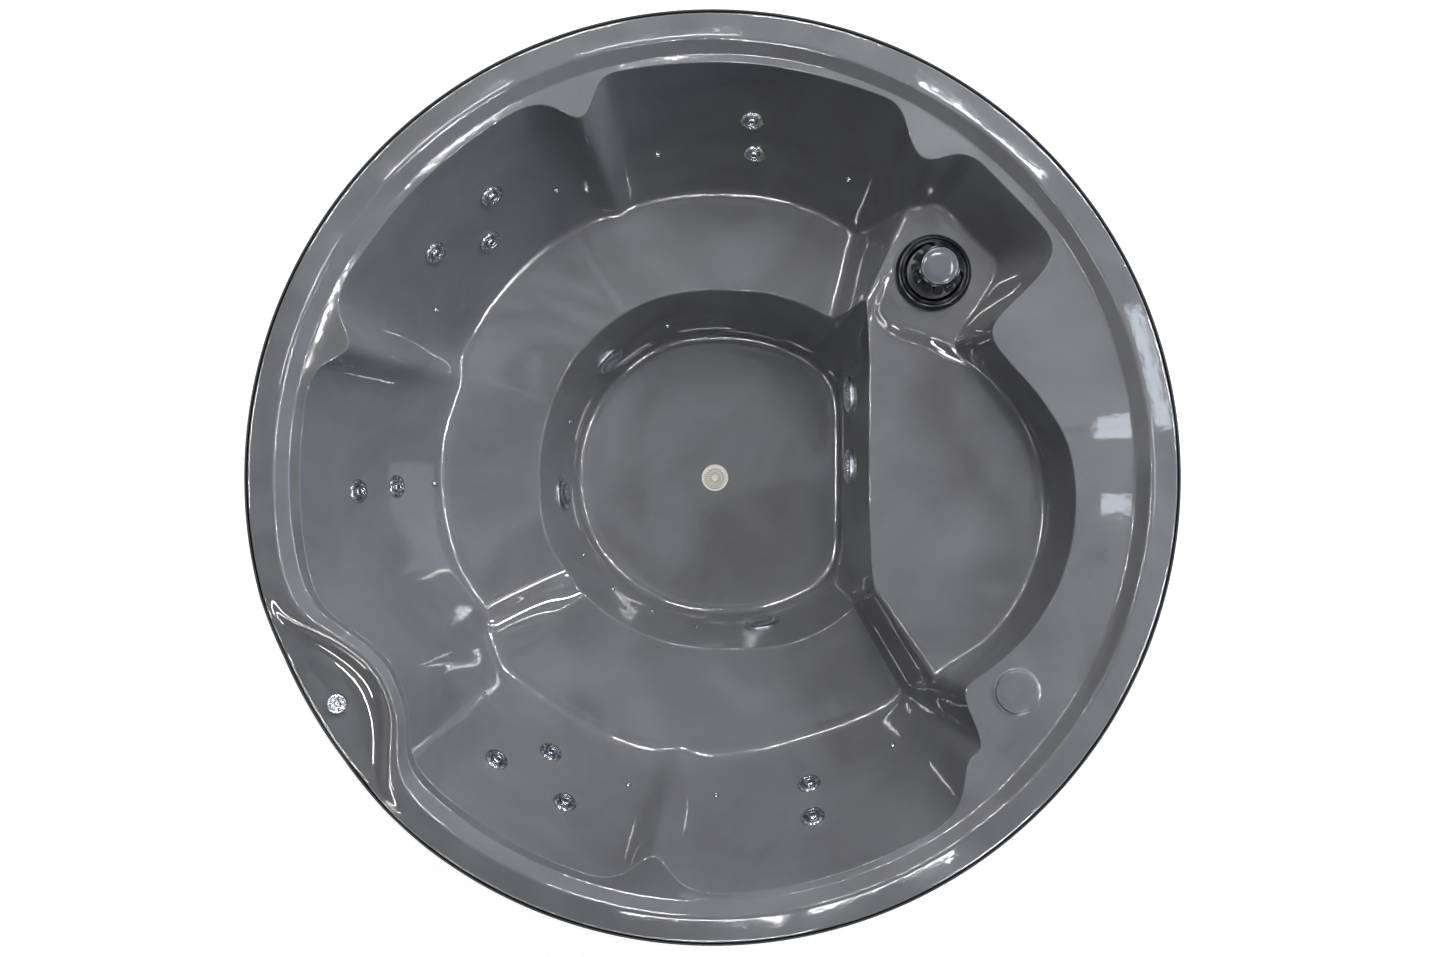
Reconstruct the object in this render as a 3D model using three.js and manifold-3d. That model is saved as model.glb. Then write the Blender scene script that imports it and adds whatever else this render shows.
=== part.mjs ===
import * as THREE from "three";
import { mergeVertices } from "three/addons/utils/BufferGeometryUtils.js";
import Module from "manifold-3d";

const wasm = await Module();
wasm.setup();

// A round hot tub seen from above: a moulded acrylic shell with five seats, a footwell, a cool-down
// step and a filter corner, in a round cabinet of upright staves. Millimetres, +Z up, +X to the right
// and +Y to the back of the plan, origin at the middle of the underside.

// Overall sizes.
const tubRadius = 990.6;
const tubHeight = 890;
const shellThickness = 8;

// Clearances.
const touchGap = 0.3;
const skinGap = 1;
const holeClearance = 0.7;
const nutGap = 2;
const cutOverrun = 10;

// Edging clipped round the rim.
const trimWall = 4.8;
const trimRound = 3;
const trimDrop = 6;
const trimDepth = 39;
const trimInnerRadius = tubRadius - trimWall;
const trimTop = tubHeight - trimDrop;
const trimBottom = trimTop - trimDepth;

// Plan of the rim, each line measured inwards from the shell's outer edge.
const rimFit = 2.6;
const shellRimRadius = trimInnerRadius - rimFit;
const rimRounding = 6.2;
const rimFlatWidth = 35.2;
const grooveInset = 80.2;
const crestFlatRadius = shellRimRadius - rimFlatWidth;
const grooveRadius = shellRimRadius - grooveInset;
const platformEdgeRadius = shellRimRadius - rimRounding;
const platformFootMax = platformEdgeRadius - rimRounding / 2;

// Levels of the shell's upper surface, measured down from the rim.
const lipDrop = 42;
const shoulderDrop = 28;
const controlPlatformDrop = 22;
const filterPlatformDrop = 190;
const stepDrop = 30;
const benchDrop = 460;
const leftBenchDrop = 40;
const lipZ = tubHeight - lipDrop;
const shoulderZ = tubHeight - shoulderDrop;
const controlPlatformZ = tubHeight - controlPlatformDrop;
const filterPlatformZ = tubHeight - filterPlatformDrop;
const stepPlatformZ = filterPlatformZ - stepDrop;
const benchZ = tubHeight - benchDrop;
const leftBenchZ = benchZ - leftBenchDrop;
const footwellZ = 95;
const drainFall = 4;

// Rounding lengths: how far each support line of the surface stands from its corner.
const floorRounding = 30;
const footwellTopRounding = 24;
const seatRounding = 40;
const wallTopRounding = 16;
const shelfRounding = 14;
const grooveStep = 12;
const grooveBack = 22;
const platformFoot = 6;
const crestStep = 14;
const footStep = 16;
const floorCorner = 16;
const longestColumnStep = 7.5;

// Round boss on the shelf beside the step.
const bossX = tubRadius * 0.6572;
const bossY = tubRadius * -0.4613;
const bossRadius = 46.5;
const bossHeight = 11;
const bossRound = 5;
const bossShelfDrop = 36;

// Fittings.
const jetFaceRadius = 28;
const jetFaceHeight = 6;
const jetLift = 2;
const jetNozzleRadius = 10;
const jetNozzleHeight = 9;
const jetStubRadius = 11;
const jetStubDepth = 18;
const jetBodyRadius = 18;
const jetBoreRadius = 12.5;
const jetNutRadius = 25;
const jetBodyLength = 46;
const suctionRadius = 47;
const suctionHeight = 14;
const suctionLift = 3.4;
const suctionStubRadius = 26;
const suctionStubLength = 62;
const drainRadius = 37;
const drainHeight = 5;
const drainStubRadius = 24;
const drainStubLength = 42;
const injectorRadius = 6.6;
const injectorHeight = 3;
const injectorStubRadius = 4.4;
const injectorStubLength = 24;
const injectorLift = 2.5;

// Filter.
const filterX = tubRadius * 0.50313;
const filterY = tubRadius * 0.46931;
const bucketRadius = 70;
const bucketWall = 3;
const bucketDepth = 392;
const bucketFlangeWidth = 6;
const bucketLift = 1.3;
const bucketFlangeHeight = 3;
const collarWidth = 19.7;
const collarHeight = 13;
const collarOverhang = 9.7;
const collarBevel = 2;
const cartridgeRadius = 60;
const cartridgeValleyRadius = 52;
const cartridgeBoreRadius = 22;
const cartridgePleats = 24;
const capCoreRadius = 47;
const capTabReach = 11;
const capTopRadius = 45.5;
const capRise = 90;
const capTabFoot = 50;
const capTabEdge = 4;
const capBevel = 3;
const capTabs = 12;
const capNotchWidth = 10;
const capSpigotRadius = 21;
const capSpigotLength = 30;
const filterSegments = 24;

// Air control on the lower left platform.
const airX = tubRadius * -0.80254;
const airY = tubRadius * -0.48304;
const airKnobRadius = 21.5;
const airKnobHeight = 14;
const airKnobLift = 4.6;
const airFlangeRadius = 20;
const airFlangeHeight = 3.6;
const airStemRadius = 11;
const airSpigotRadius = 6;
const airBodyDepth = 48;
const airKnobRibs = 6;
const airRibWidth = 4;
const airRibHeight = 5;

// Cabinet. Angles in degrees from +X.
const panelInset = 10.2;
const staveThickness = 16;
const panelTopGap = 0.4;
const platformPanelGap = 8;
const baseThickness = 12;
const staveStepDegrees = 7.5;
const panelStartDegrees = -60;
const panelDegrees = 120;
const panelJointDegrees = 0.03;
const controlSideStart = -172.5;
const controlSideEnd = -127.5;
const doorHalfDegrees = 22.5;
const doorGapDegrees = 0.07;
const doorBottom = 166;
const doorTopDrop = 200;
const bandThickness = 3;
const bandHeight = 40;
const bandBelowDoor = 21;
const bandAboveDoor = 16;
const panelOuterRadius = shellRimRadius - shellThickness - panelInset;
const panelInnerRadius = panelOuterRadius - staveThickness;
const panelBottom = baseThickness + touchGap;
const panelTop = tubHeight - shellThickness - panelTopGap;
const controlPanelTop = controlPlatformZ - shellThickness - platformPanelGap;
const doorTop = tubHeight - doorTopDrop;
const lowerBandZ = doorBottom - bandBelowDoor - bandHeight;
const upperBandZ = doorTop + bandAboveDoor;
const frameGap = 5;
const frameDepth = 38;
const frameRingHeight = 40;
const frameTopDrop = 130;
const frameOuterRadius = panelInnerRadius - frameGap;
const frameInnerRadius = frameOuterRadius - frameDepth;
const frameTopRingZ = tubHeight - frameTopDrop;
const postWidth = 60;
const postAngles = [30, 60, 90, 120, 150, 180, 240, 270, 300, 330];
const cabinetSegments = 48;
const frameSegments = 20;

// Equipment under the step.
const pumpX = tubRadius * 0.535;
const pumpWetRadius = 80;
const pumpWetLength = 84;
const pumpWetY = tubRadius * -0.0303;
const pumpMotorRadius = 72;
const pumpMotorLength = 236;
const pumpFootWidth = 130;
const pumpFootHeight = 36;
const pumpFootInset = 24;
const pumpAxisZ = 118;
const pipeRadius = 23;
const pipeBend = 62;
const dischargeRise = 96;
const packWidth = 190;
const packDepth = 300;
const packHeight = 330;
const packX = tubRadius * 0.6582;
const packY = tubRadius * 0.2423;

// One row for each drawn line from the footwell to the rim, in order round the tub. Angle of the row,
// then for the footwell's top edge, the foot of the seat back and its top: angle, radius share, level;
// last the rim's inner crest, and the foot of the control platform with its drop share.
// Levels: 0 left bench, 1 bench, 2 step platform, 3 filter platform. Angles in degrees from +X.
const columnShares = [
  [-166, -166, 0.4512, 0, -165.5, 0.6945, 0, -166, 0.8924, 0, 0.9388, 0.9752, 0],
  [-162, -161.5, 0.4523, 0, -162, 0.6935, 0, -162, 0.8863, 0.07, 0.9227, 0.9893, 0.18],
  [-158.6, -158, 0.4523, 0, -158.5, 0.6885, 0, -158.6, 0.854, 0.29, 0.8843, 0.9217, 0.82],
  [-154.8, -154.5, 0.4502, 0, -155, 0.6834, 0, -154.8, 0.8157, 0.36, 0.8439, 0.8762, 1],
  [-151.3, -151, 0.4472, 0, -151.7, 0.6784, 0, -151.3, 0.7975, 0.36, 0.8248, 0.854, 1.05],
  [-149, -148.5, 0.4442, 0.03, -149.8, 0.6753, 0.03, -149, 0.7955, 0.36, 0.8217, 0.848, 1.05],
  [-146.5, -145.5, 0.4422, 0.3, -147.6, 0.6844, 0.68, -146.5, 0.8005, 0.36, 0.8258, 0.853, 1.05],
  [-143.7, -142.5, 0.4411, 0.6, -144.2, 0.6986, 1, -143.7, 0.8106, 0.36, 0.8359, 0.8722, 1],
  [-141, -140, 0.4401, 0.85, -141, 0.7097, 1, -141, 0.8338, 0.29, 0.8611, 0.9045, 1],
  [-138.3, -137.5, 0.4391, 1, -138.3, 0.7188, 1, -138.3, 0.8722, 0.14, 0.9005, 0.9509, 0.82],
  [-135.5, -135, 0.4381, 1, -135.5, 0.7188, 1, -135.5, 0.8904, 0.04, 0.9287, 0.9812, 0.36],
  [-132, -132, 0.4361, 1, -132, 0.7137, 1, -132, 0.8944, 0, 0.9368, 0.9752, 0],
  [-126, -126, 0.4341, 1, -126, 0.7077, 1, -126, 0.8944, 0, 0.9368, 0.9752, 0],
  [-110, -110, 0.43, 1, -110, 0.7066, 1, -109, 0.8954, 0, 0.9348, 0.9752, 0],
  [-105, -105, 0.429, 1, -104.5, 0.7077, 1, -105, 0.8944, 0, 0.9348, 0.9752, 0],
  [-101.7, -101.5, 0.429, 1, -100.7, 0.7066, 1, -101.9, 0.8692, 0, 0.9348, 0.9752, 0],
  [-98.6, -98.5, 0.429, 1, -97.4, 0.6875, 1, -98.8, 0.7995, 0, 0.9348, 0.9752, 0],
  [-95.4, -95.4, 0.429, 1, -94.2, 0.6996, 1, -95.4, 0.8752, 0, 0.9348, 0.9752, 0],
  [-91.6, -91.6, 0.429, 1, -91, 0.7046, 1, -91.4, 0.8964, 0, 0.9348, 0.9752, 0],
  [-86, -86, 0.429, 1, -86, 0.7026, 1, -86, 0.8954, 0, 0.9348, 0.9752, 0],
  [-72, -71, 0.4492, 1, -72, 0.6955, 1, -71, 0.8944, 0, 0.9348, 0.9752, 0],
  [-64, -62, 0.4623, 1, -64, 0.7046, 1, -62, 0.8944, 0, 0.9348, 0.9752, 0],
  [-59, -56, 0.4694, 1, -59, 0.7137, 1, -58, 0.8995, 0, 0.9348, 0.9752, 0],
  [-55, -51, 0.4735, 1, -55, 0.7208, 1, -53.8, 0.8934, 0, 0.9348, 0.9752, 0],
  [-51.8, -47, 0.4765, 1, -51.6, 0.7248, 1, -50.6, 0.856, -0.07, 0.9348, 0.9752, 0],
  [-49.3, -43.5, 0.4785, 1, -49.2, 0.7248, 1, -47.6, 0.8126, -0.14, 0.9348, 0.9752, 0],
  [-47.4, -41, 0.4775, 1, -47.6, 0.7147, 1, -45, 0.8338, -0.21, 0.9348, 0.9752, 0],
  [-45.2, -37, 0.4704, 1.94, -43.4, 0.6965, 1.97, -42.8, 0.7652, -0.29, 0.9348, 0.9752, 0],
  [-43, -34.4, 0.4523, 2, -41.3, 0.6865, 2, -40.6, 0.7016, -0.29, 0.9348, 0.9752, 0],
  [-39, -31.5, 0.43, 2, -37.8, 0.6996, 2, -36.8, 0.7188, -0.29, 0.9348, 0.9752, 0],
  [-34, -28, 0.4119, 2, -33.2, 0.7258, 2, -32, 0.7389, -0.29, 0.9348, 0.9752, 0],
  [-26, -23, 0.3937, 2, -26, 0.7541, 2, -25.5, 0.7652, -0.29, 0.9348, 0.9752, 0],
  [-18, -17, 0.3775, 2, -18, 0.7692, 2, -18, 0.7824, -0.29, 0.9348, 0.9752, 0],
  [-9, -9, 0.3644, 2, -9, 0.7743, 2, -9, 0.7904, -0.29, 0.9348, 0.9752, 0],
  [0, 0, 0.3594, 2, 0, 0.7622, 2, 0, 0.7824, -0.29, 0.9348, 0.9752, 0],
  [5.4, 5.4, 0.3614, 2, 5.4, 0.7501, 2, 5.4, 0.7692, 0, 0.9348, 0.9752, 0],
  [9, 9, 0.3634, 2, 9, 0.7379, 2, 9, 0.7511, 0, 0.9348, 0.9752, 0],
  [16, 16, 0.3745, 2, 16.5, 0.7026, 2, 16, 0.7147, 0, 0.9348, 0.9752, 0],
  [21.5, 20.5, 0.3846, 2, 22, 0.6663, 2, 21.5, 0.6824, 0, 0.9348, 0.9752, 0],
  [26, 24.5, 0.3967, 2, 26, 0.638, 2.27, 26.4, 0.6683, 0, 0.9348, 0.9752, 0],
  [28.4, 27.5, 0.4068, 2, 28.2, 0.6279, 2.73, 28.8, 0.6865, 0, 0.9348, 0.9752, 0],
  [30, 30, 0.4169, 2, 30, 0.638, 3, 30, 0.7309, 0, 0.9348, 0.9752, 0],
  [31.8, 32.5, 0.428, 2, 32.4, 0.7066, 3, 31.2, 0.8076, 0, 0.9348, 0.9752, 0],
  [33.4, 35, 0.4411, 2, 34.6, 0.7753, 3, 32.8, 0.8742, 0, 0.9348, 0.9752, 0],
  [35.5, 37.5, 0.4553, 2, 36.8, 0.8157, 3, 35.2, 0.8964, 0, 0.9348, 0.9752, 0],
  [39, 40, 0.4694, 2, 39.5, 0.8096, 3, 39.5, 0.8904, 0, 0.9348, 0.9752, 0],
  [43, 42.4, 0.4866, 2, 43.2, 0.8056, 3, 44, 0.8873, 0, 0.9348, 0.9752, 0],
  [46.5, 44.6, 0.5027, 2, 47.2, 0.8076, 3, 48, 0.8894, 0, 0.9348, 0.9752, 0],
  [49.5, 46.6, 0.5169, 2.27, 50.4, 0.8136, 3, 51, 0.8924, 0, 0.9348, 0.9752, 0],
  [51.6, 48, 0.527, 2.73, 52.2, 0.7894, 3, 53.4, 0.8722, 0, 0.9348, 0.9752, 0],
  [53.3, 49, 0.535, 2.93, 53.6, 0.7672, 3, 55.6, 0.8197, 0, 0.9348, 0.9752, 0],
  [55.2, 50, 0.5381, 2.87, 54.8, 0.749, 2.83, 58.4, 0.8258, 0, 0.9348, 0.9752, 0],
  [57.6, 52, 0.5088, 1.04, 58.8, 0.7046, 1.02, 61, 0.8641, 0, 0.9348, 0.9752, 0],
  [60, 54, 0.4967, 1, 61.2, 0.7087, 1, 63.4, 0.9005, 0, 0.9348, 0.9752, 0],
  [64.5, 60, 0.4946, 1, 65, 0.7147, 1, 66.6, 0.8974, 0, 0.9348, 0.9752, 0],
  [72, 70, 0.4866, 1, 72, 0.7208, 1, 72, 0.8944, 0, 0.9348, 0.9752, 0],
  [84, 84, 0.4745, 1, 84, 0.7188, 1, 84, 0.8944, 0, 0.9348, 0.9752, 0],
  [98, 98, 0.4735, 1, 98, 0.7177, 1, 98, 0.8944, 0, 0.9348, 0.9752, 0],
  [102.6, 102.6, 0.4735, 1, 104, 0.7177, 1, 103.4, 0.8984, 0, 0.9348, 0.9752, 0],
  [105.7, 105.7, 0.4735, 1, 107, 0.7167, 1, 106.2, 0.8974, 0, 0.9348, 0.9752, 0],
  [108.6, 108.6, 0.4735, 1, 109.6, 0.7026, 1, 110, 0.7975, 0, 0.9348, 0.9752, 0],
  [112, 112, 0.4735, 1, 112.2, 0.7157, 1, 112.8, 0.8682, 0, 0.9348, 0.9752, 0],
  [116, 116, 0.4724, 1, 115.5, 0.7198, 1, 116, 0.8964, 0, 0.9348, 0.9752, 0],
  [121, 121, 0.4704, 0.97, 121, 0.7198, 0.97, 121, 0.8944, 0, 0.9348, 0.9752, 0],
  [136, 136, 0.4664, 0.65, 136, 0.7188, 0.65, 136, 0.8924, 0, 0.9348, 0.9752, 0],
  [148, 148, 0.4603, 0.25, 148, 0.7188, 0.25, 147.5, 0.8944, 0, 0.9348, 0.9752, 0],
  [152.5, 152.5, 0.4573, 0.12, 153, 0.7198, 0.15, 152.2, 0.9005, 0, 0.9348, 0.9752, 0],
  [156, 156, 0.4543, 0.05, 156, 0.7167, 0.07, 156.4, 0.8894, 0, 0.9348, 0.9752, 0],
  [159.2, 159.2, 0.4533, 0.03, 158.6, 0.6945, 0.03, 160.2, 0.8086, 0, 0.9348, 0.9752, 0],
  [162.6, 162.6, 0.4512, 0, 161.5, 0.6935, 0, 163.4, 0.8762, 0, 0.9348, 0.9752, 0],
  [166.5, 166.5, 0.4492, 0, 166.5, 0.6976, 0, 167, 0.8954, 0, 0.9348, 0.9752, 0],
  [172, 172, 0.4462, 0, 172, 0.6996, 0, 172, 0.8894, 0, 0.9348, 0.9752, 0],
  [183, 183, 0.4452, 0, 183, 0.6996, 0, 183, 0.8884, 0, 0.9348, 0.9752, 0],
];
// Radius of the flat footwell floor by angle.
const floorShares = [
  [-180, 0.3654], [-163, 0.3664], [-152, 0.3664], [-120, 0.3634], [-88, 0.3624], [-62, 0.3836],
  [-48, 0.3998], [-38, 0.4018], [-32, 0.3876], [-20, 0.3523], [-10, 0.3362], [0, 0.3311],
  [10, 0.3362], [20, 0.3523], [30, 0.3826], [36, 0.4038], [43, 0.4099], [52, 0.4058],
  [63, 0.3967], [75, 0.3876], [88, 0.3836], [114, 0.3846], [142, 0.3745], [177, 0.3654],
  [180, 0.3654],
];
// Foot and top of the low riser between the step platform and the filter platform, by angle.
const riserShares = [
  [21.5, 0.6461, 0.6461], [26, 0.6239, 0.6279], [28.4, 0.6097, 0.6198], [30, 0.5976, 0.6128],
  [31.8, 0.5794, 0.5956], [33.4, 0.5613, 0.5774], [35.5, 0.5411, 0.5572], [39, 0.529, 0.5451],
  [43, 0.529, 0.5441], [46.5, 0.531, 0.5451], [49.5, 0.537, 0.5502],
];

// Fittings on the seat backs: angle of the row, share of the way up the seat back.
const jetShares = [
  [128.2, 0.66], [141.2, 0.66], [133.6, 0.44], [83.6, 0.66], [82.6, 0.44], [182.2, 0.68],
  [181.6, 0.44], [-120.8, 0.41], [-127.6, 0.65], [-115, 0.66], [-72.6, 0.44], [-73.8, 0.65],
];
const injectorShares = [
  [118.5, 0.45], [149.1, 0.44], [99.7, 0.45], [63.9, 0.45], [181.2, 0.1], [-136.6, 0.37],
  [-105.6, 0.41], [-90.2, 0.41], [-56.5, 0.41],
];
// Suction covers in the footwell wall: angle of the row, share of the way up.
const suctionShares = [
  [132.2, 0.5], [185.8, 0.52], [-72.6, 0.48], [31, 0.52], [5.1, 0.5],
];

const colours = {
  acrylic: [0x55575c, 0.15, 0],
  trim: [0x0c0c0d, 0.5, 0],
  stave: [0x6b4a2f, 0.6, 0],
  steel: [0x8a8c90, 0.35, 1],
  chrome: [0xc9ccd0, 0.12, 1],
  pale: [0xc6c6c0, 0.45, 0],
  blackPlastic: [0x121315, 0.3, 0],
  greyPlastic: [0x54585c, 0.5, 0],
  paper: [0xe6e5df, 0.8, 0],
  frameWood: [0x9a7a52, 0.7, 0],
};

const radians = THREE.MathUtils.degToRad;

function polar(angle, radius, z) {
  return new THREE.Vector3(radius * Math.cos(radians(angle)), radius * Math.sin(radians(angle)), z);
}

function blend(rows, x, k) {
  if (x <= rows[0][0]) return rows[0][k];
  for (let i = 1; i < rows.length; i += 1) {
    if (x <= rows[i][0]) {
      const t = (x - rows[i - 1][0]) / (rows[i][0] - rows[i - 1][0]);
      return rows[i - 1][k] + (rows[i][k] - rows[i - 1][k]) * t;
    }
  }
  return rows[rows.length - 1][k];
}

const levelRows = [[0, leftBenchZ], [1, benchZ], [2, stepPlatformZ], [3, filterPlatformZ]];

function level(share) {
  return blend(levelRows, share, 1);
}

// Rows between the drawn ones, so that no two are further apart than the longest step.
function allColumns() {
  const angleSlots = [0, 1, 4, 7];
  const last = columnShares[0].map((v, k) => (angleSlots.includes(k) ? v + 360 : v));
  const rows = [...columnShares, last];
  const out = [];
  for (let i = 0; i + 1 < rows.length; i += 1) {
    const n = Math.ceil((rows[i + 1][0] - rows[i][0]) / longestColumnStep);
    for (let s = 0; s < n; s += 1) {
      out.push(rows[i].map((v, k) => v + ((rows[i + 1][k] - v) * s) / n));
    }
  }
  return out;
}

function toward(from, to, length) {
  const way = to.clone().sub(from);
  const reach = way.length();
  return from.clone().addScaledVector(way, Math.min(length, reach / 3) / reach);
}

const ringNames = ["floorInner", "floorOuter", "floorIn", "floorEdge", "floorUp", "footwellWall",
  "benchIn", "benchEdge", "benchOut", "riserFoot", "riserTop", "seatIn", "seatBack", "seatUp",
  "backMiddle", "backUp", "backTop", "backOut", "grooveIn", "groove", "bevel", "crest",
  "crestFlat", "platformFoot", "platformEdge", "rimEdge", "lip"];

function columnRings(row) {
  const [angle, footAngle, footShare, footLevel, backAngle, backShare, backLevel,
    topAngle, topShare, topRise, crestShare, dropRadiusShare, dropShare] = row;
  const wrapped = ((((footAngle + 180) % 360) + 360) % 360) - 180;
  const floorRadius = blend(floorShares, wrapped, 1) * tubRadius + floorCorner;
  const footRadius = footShare * tubRadius;
  const backRadius = backShare * tubRadius;
  const topRadius = topShare * tubRadius;
  const crestRadius = crestShare * tubRadius;
  const floorEdge = polar(footAngle, floorRadius, footwellZ);
  const centre = new THREE.Vector3(0, 0, footwellZ);
  const benchEdge = polar(footAngle, footRadius, level(footLevel));
  const seatBack = polar(backAngle, backRadius, level(backLevel));
  const topZ = shoulderZ + (tubHeight - shoulderZ) * topRise;
  const backTop = polar(topAngle, topRadius, topZ);
  let riserFoot = benchEdge.clone().lerp(seatBack, 0.36);
  let riserTop = benchEdge.clone().lerp(seatBack, 0.68);
  if (angle >= riserShares[0][0] && angle <= riserShares[riserShares.length - 1][0]) {
    const footAt = blend(riserShares, angle, 1) * tubRadius;
    const topAt = blend(riserShares, angle, 2) * tubRadius;
    const footPart = (footAt - footRadius) / (backRadius - footRadius);
    const topPart = (topAt - footRadius) / (backRadius - footRadius);
    riserFoot = polar(footAngle + (backAngle - footAngle) * footPart, footAt, level(footLevel));
    riserTop = polar(footAngle + (backAngle - footAngle) * topPart, topAt, level(backLevel));
  }
  const roundShare = backLevel > 1.5 ? 0.5 : 1;
  const controlSide = dropShare > 0;
  const grooveAt = Math.max(topRadius + grooveStep, Math.min(grooveRadius, crestRadius - grooveBack));
  const groove = polar(topAngle + (angle - topAngle) * 0.7, grooveAt, topZ);
  const crest = polar(topAngle + (angle - topAngle) * 0.6, crestRadius, tubHeight);
  const dropRadius = dropRadiusShare * tubRadius;
  const footZ = tubHeight - (tubHeight - controlPlatformZ) * dropShare;
  const slopeAt = Math.max(crestRadius + crestStep, dropRadius - footStep);
  const flatAt = controlSide ? slopeAt : crestFlatRadius;
  const footAt = Math.min(dropRadius + (controlSide ? platformFoot : 0), platformFootMax);
  const inner = floorEdge.clone().lerp(centre, 0.7);
  const outer = floorEdge.clone().lerp(centre, 0.32);
  inner.z -= drainFall;
  outer.z -= drainFall / 2;
  return [
    inner,
    outer,
    toward(floorEdge, centre, floorRounding),
    floorEdge,
    toward(floorEdge, benchEdge, floorRounding),
    floorEdge.clone().lerp(benchEdge, 0.5),
    toward(benchEdge, floorEdge, footwellTopRounding),
    benchEdge,
    toward(benchEdge, riserFoot, footwellTopRounding),
    riserFoot,
    riserTop,
    toward(seatBack, riserTop, seatRounding * roundShare),
    seatBack,
    toward(seatBack, backTop, seatRounding * roundShare),
    seatBack.clone().lerp(backTop, 0.5),
    toward(backTop, seatBack, wallTopRounding),
    backTop,
    toward(backTop, groove, shelfRounding),
    toward(groove, backTop, wallTopRounding),
    groove,
    groove.clone().lerp(crest, 0.5),
    crest,
    polar(angle, flatAt, tubHeight),
    polar(angle, footAt, footZ),
    polar(angle, platformEdgeRadius, footZ),
    polar(angle, shellRimRadius, footZ),
    polar(angle, shellRimRadius, lipZ),
  ];
}

const columns = allColumns();
const columnCount = columns.length;
const ringCount = ringNames.length;
const control = columns.map((row, i) => {
  const before = columns[(i + columnCount - 1) % columnCount][0];
  const after = columns[(i + 1) % columnCount][0];
  const gaps = [row[0] - before, after - row[0]].map((gap) => Math.cos(radians(gap)));
  const widen = 6 / (4 + gaps[0] + gaps[1]);
  return columnRings(row).map((p) => new THREE.Vector3(p.x * widen, p.y * widen, p.z));
});

function cubicWeights(t) {
  const u = 1 - t;
  return [(u * u * u) / 6, (3 * t * t * t - 6 * t * t + 4) / 6,
    (-3 * t * t * t + 3 * t * t + 3 * t + 1) / 6, (t * t * t) / 6];
}

function controlPoint(column, ring) {
  const line = control[((column % columnCount) + columnCount) % columnCount];
  if (ring < 0) return new THREE.Vector3(0, 0, footwellZ - drainFall);
  if (ring < ringCount) return line[ring];
  return line[ringCount - 1].clone().multiplyScalar(2).sub(line[ringCount - 2]);
}

// The shell's upper surface: a smooth patch over the grid of rows and rings.
function surfacePoint(column, ring) {
  const c = Math.floor(column);
  const r = Math.min(Math.floor(ring), ringCount - 2);
  const across = cubicWeights(column - c);
  const along = cubicWeights(ring - r);
  const point = new THREE.Vector3();
  for (let a = 0; a < 4; a += 1) {
    for (let b = 0; b < 4; b += 1) {
      point.addScaledVector(controlPoint(c - 1 + a, r - 1 + b), across[a] * along[b]);
    }
  }
  return point;
}

function surfaceNormal(column, ring) {
  const step = 0.2;
  const after = Math.min(ring + step, ringCount - 1);
  const along = surfacePoint(column, after).sub(surfacePoint(column, ring - step));
  const across = surfacePoint(column + step, ring).sub(surfacePoint(column - step, ring));
  return along.cross(across).normalize();
}

function columnAt(angle) {
  const wanted = angle < columns[0][0] ? angle + 360 : angle;
  const steps = [...columns.map((row, i) => [row[0], i]), [columns[0][0] + 360, columnCount]];
  return blend(steps, wanted, 1);
}

function ringAt(fromName, toName, share) {
  const from = ringNames.indexOf(fromName);
  const to = ringNames.indexOf(toName);
  return from + (to - from) * share;
}

function cleaned(geometry) {
  geometry.deleteAttribute("normal");
  geometry.deleteAttribute("uv");
  const merged = mergeVertices(geometry, 1e-3);
  const at = merged.attributes.position;
  const index = Array.from(merged.index.array);
  const kept = [];
  for (let i = 0; i < index.length; i += 3) {
    const [a, b, c] = index.slice(i, i + 3);
    if (a !== b && b !== c && a !== c) kept.push(a, b, c);
  }
  let volume = 0;
  const p = new THREE.Vector3();
  const q = new THREE.Vector3();
  const r = new THREE.Vector3();
  for (let i = 0; i < kept.length; i += 3) {
    p.fromBufferAttribute(at, kept[i]);
    q.fromBufferAttribute(at, kept[i + 1]);
    r.fromBufferAttribute(at, kept[i + 2]);
    volume += p.dot(q.cross(r));
  }
  if (volume < 0) kept.reverse();
  merged.setIndex(kept);
  return merged;
}

function toSolid(geometry) {
  const merged = cleaned(geometry);
  return new wasm.Manifold(new wasm.Mesh({
    numProp: 3,
    vertProperties: Float32Array.from(merged.attributes.position.array),
    triVerts: Uint32Array.from(merged.index.array),
  }));
}

function toGeometry(solid) {
  const mesh = solid.getMesh();
  const geometry = new THREE.BufferGeometry();
  const numbers = Float32Array.from(mesh.vertProperties);
  geometry.setAttribute("position", new THREE.BufferAttribute(numbers, 3));
  geometry.setIndex(Array.from(mesh.triVerts));
  return geometry;
}

// A turned piece about +Z from pairs of radius and height, open pairs starting and ending on the axis.
function turned(profile, segments) {
  const points = profile.map(([radius, height]) => new THREE.Vector2(radius, height));
  return cleaned(new THREE.LatheGeometry(points, segments).rotateX(Math.PI / 2));
}

function turnedRing(profile, segments) {
  return turned([...profile, profile[0]], segments);
}

// A curved board standing on z0, in flat staves between two angles.
function board(fromDegrees, toDegrees, innerRadius, outerRadius, z0, z1) {
  const shape = new THREE.Shape();
  const count = Math.max(1, Math.round((toDegrees - fromDegrees) / staveStepDegrees));
  const angles = Array.from({ length: count + 1 },
    (_, i) => fromDegrees + ((toDegrees - fromDegrees) * i) / count);
  const outer = angles.map((angle) => polar(angle, outerRadius, 0));
  const inner = angles.map((angle) => polar(angle, innerRadius, 0)).reverse();
  shape.setFromPoints([...outer, ...inner].map((p) => new THREE.Vector2(p.x, p.y)));
  const geometry = new THREE.ExtrudeGeometry(shape, { depth: z1 - z0, bevelEnabled: false });
  return cleaned(geometry.translate(0, 0, z0));
}

function joined(solids) {
  return solids.reduce((all, next) => all.add(next));
}

const group = new THREE.Group();

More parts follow.
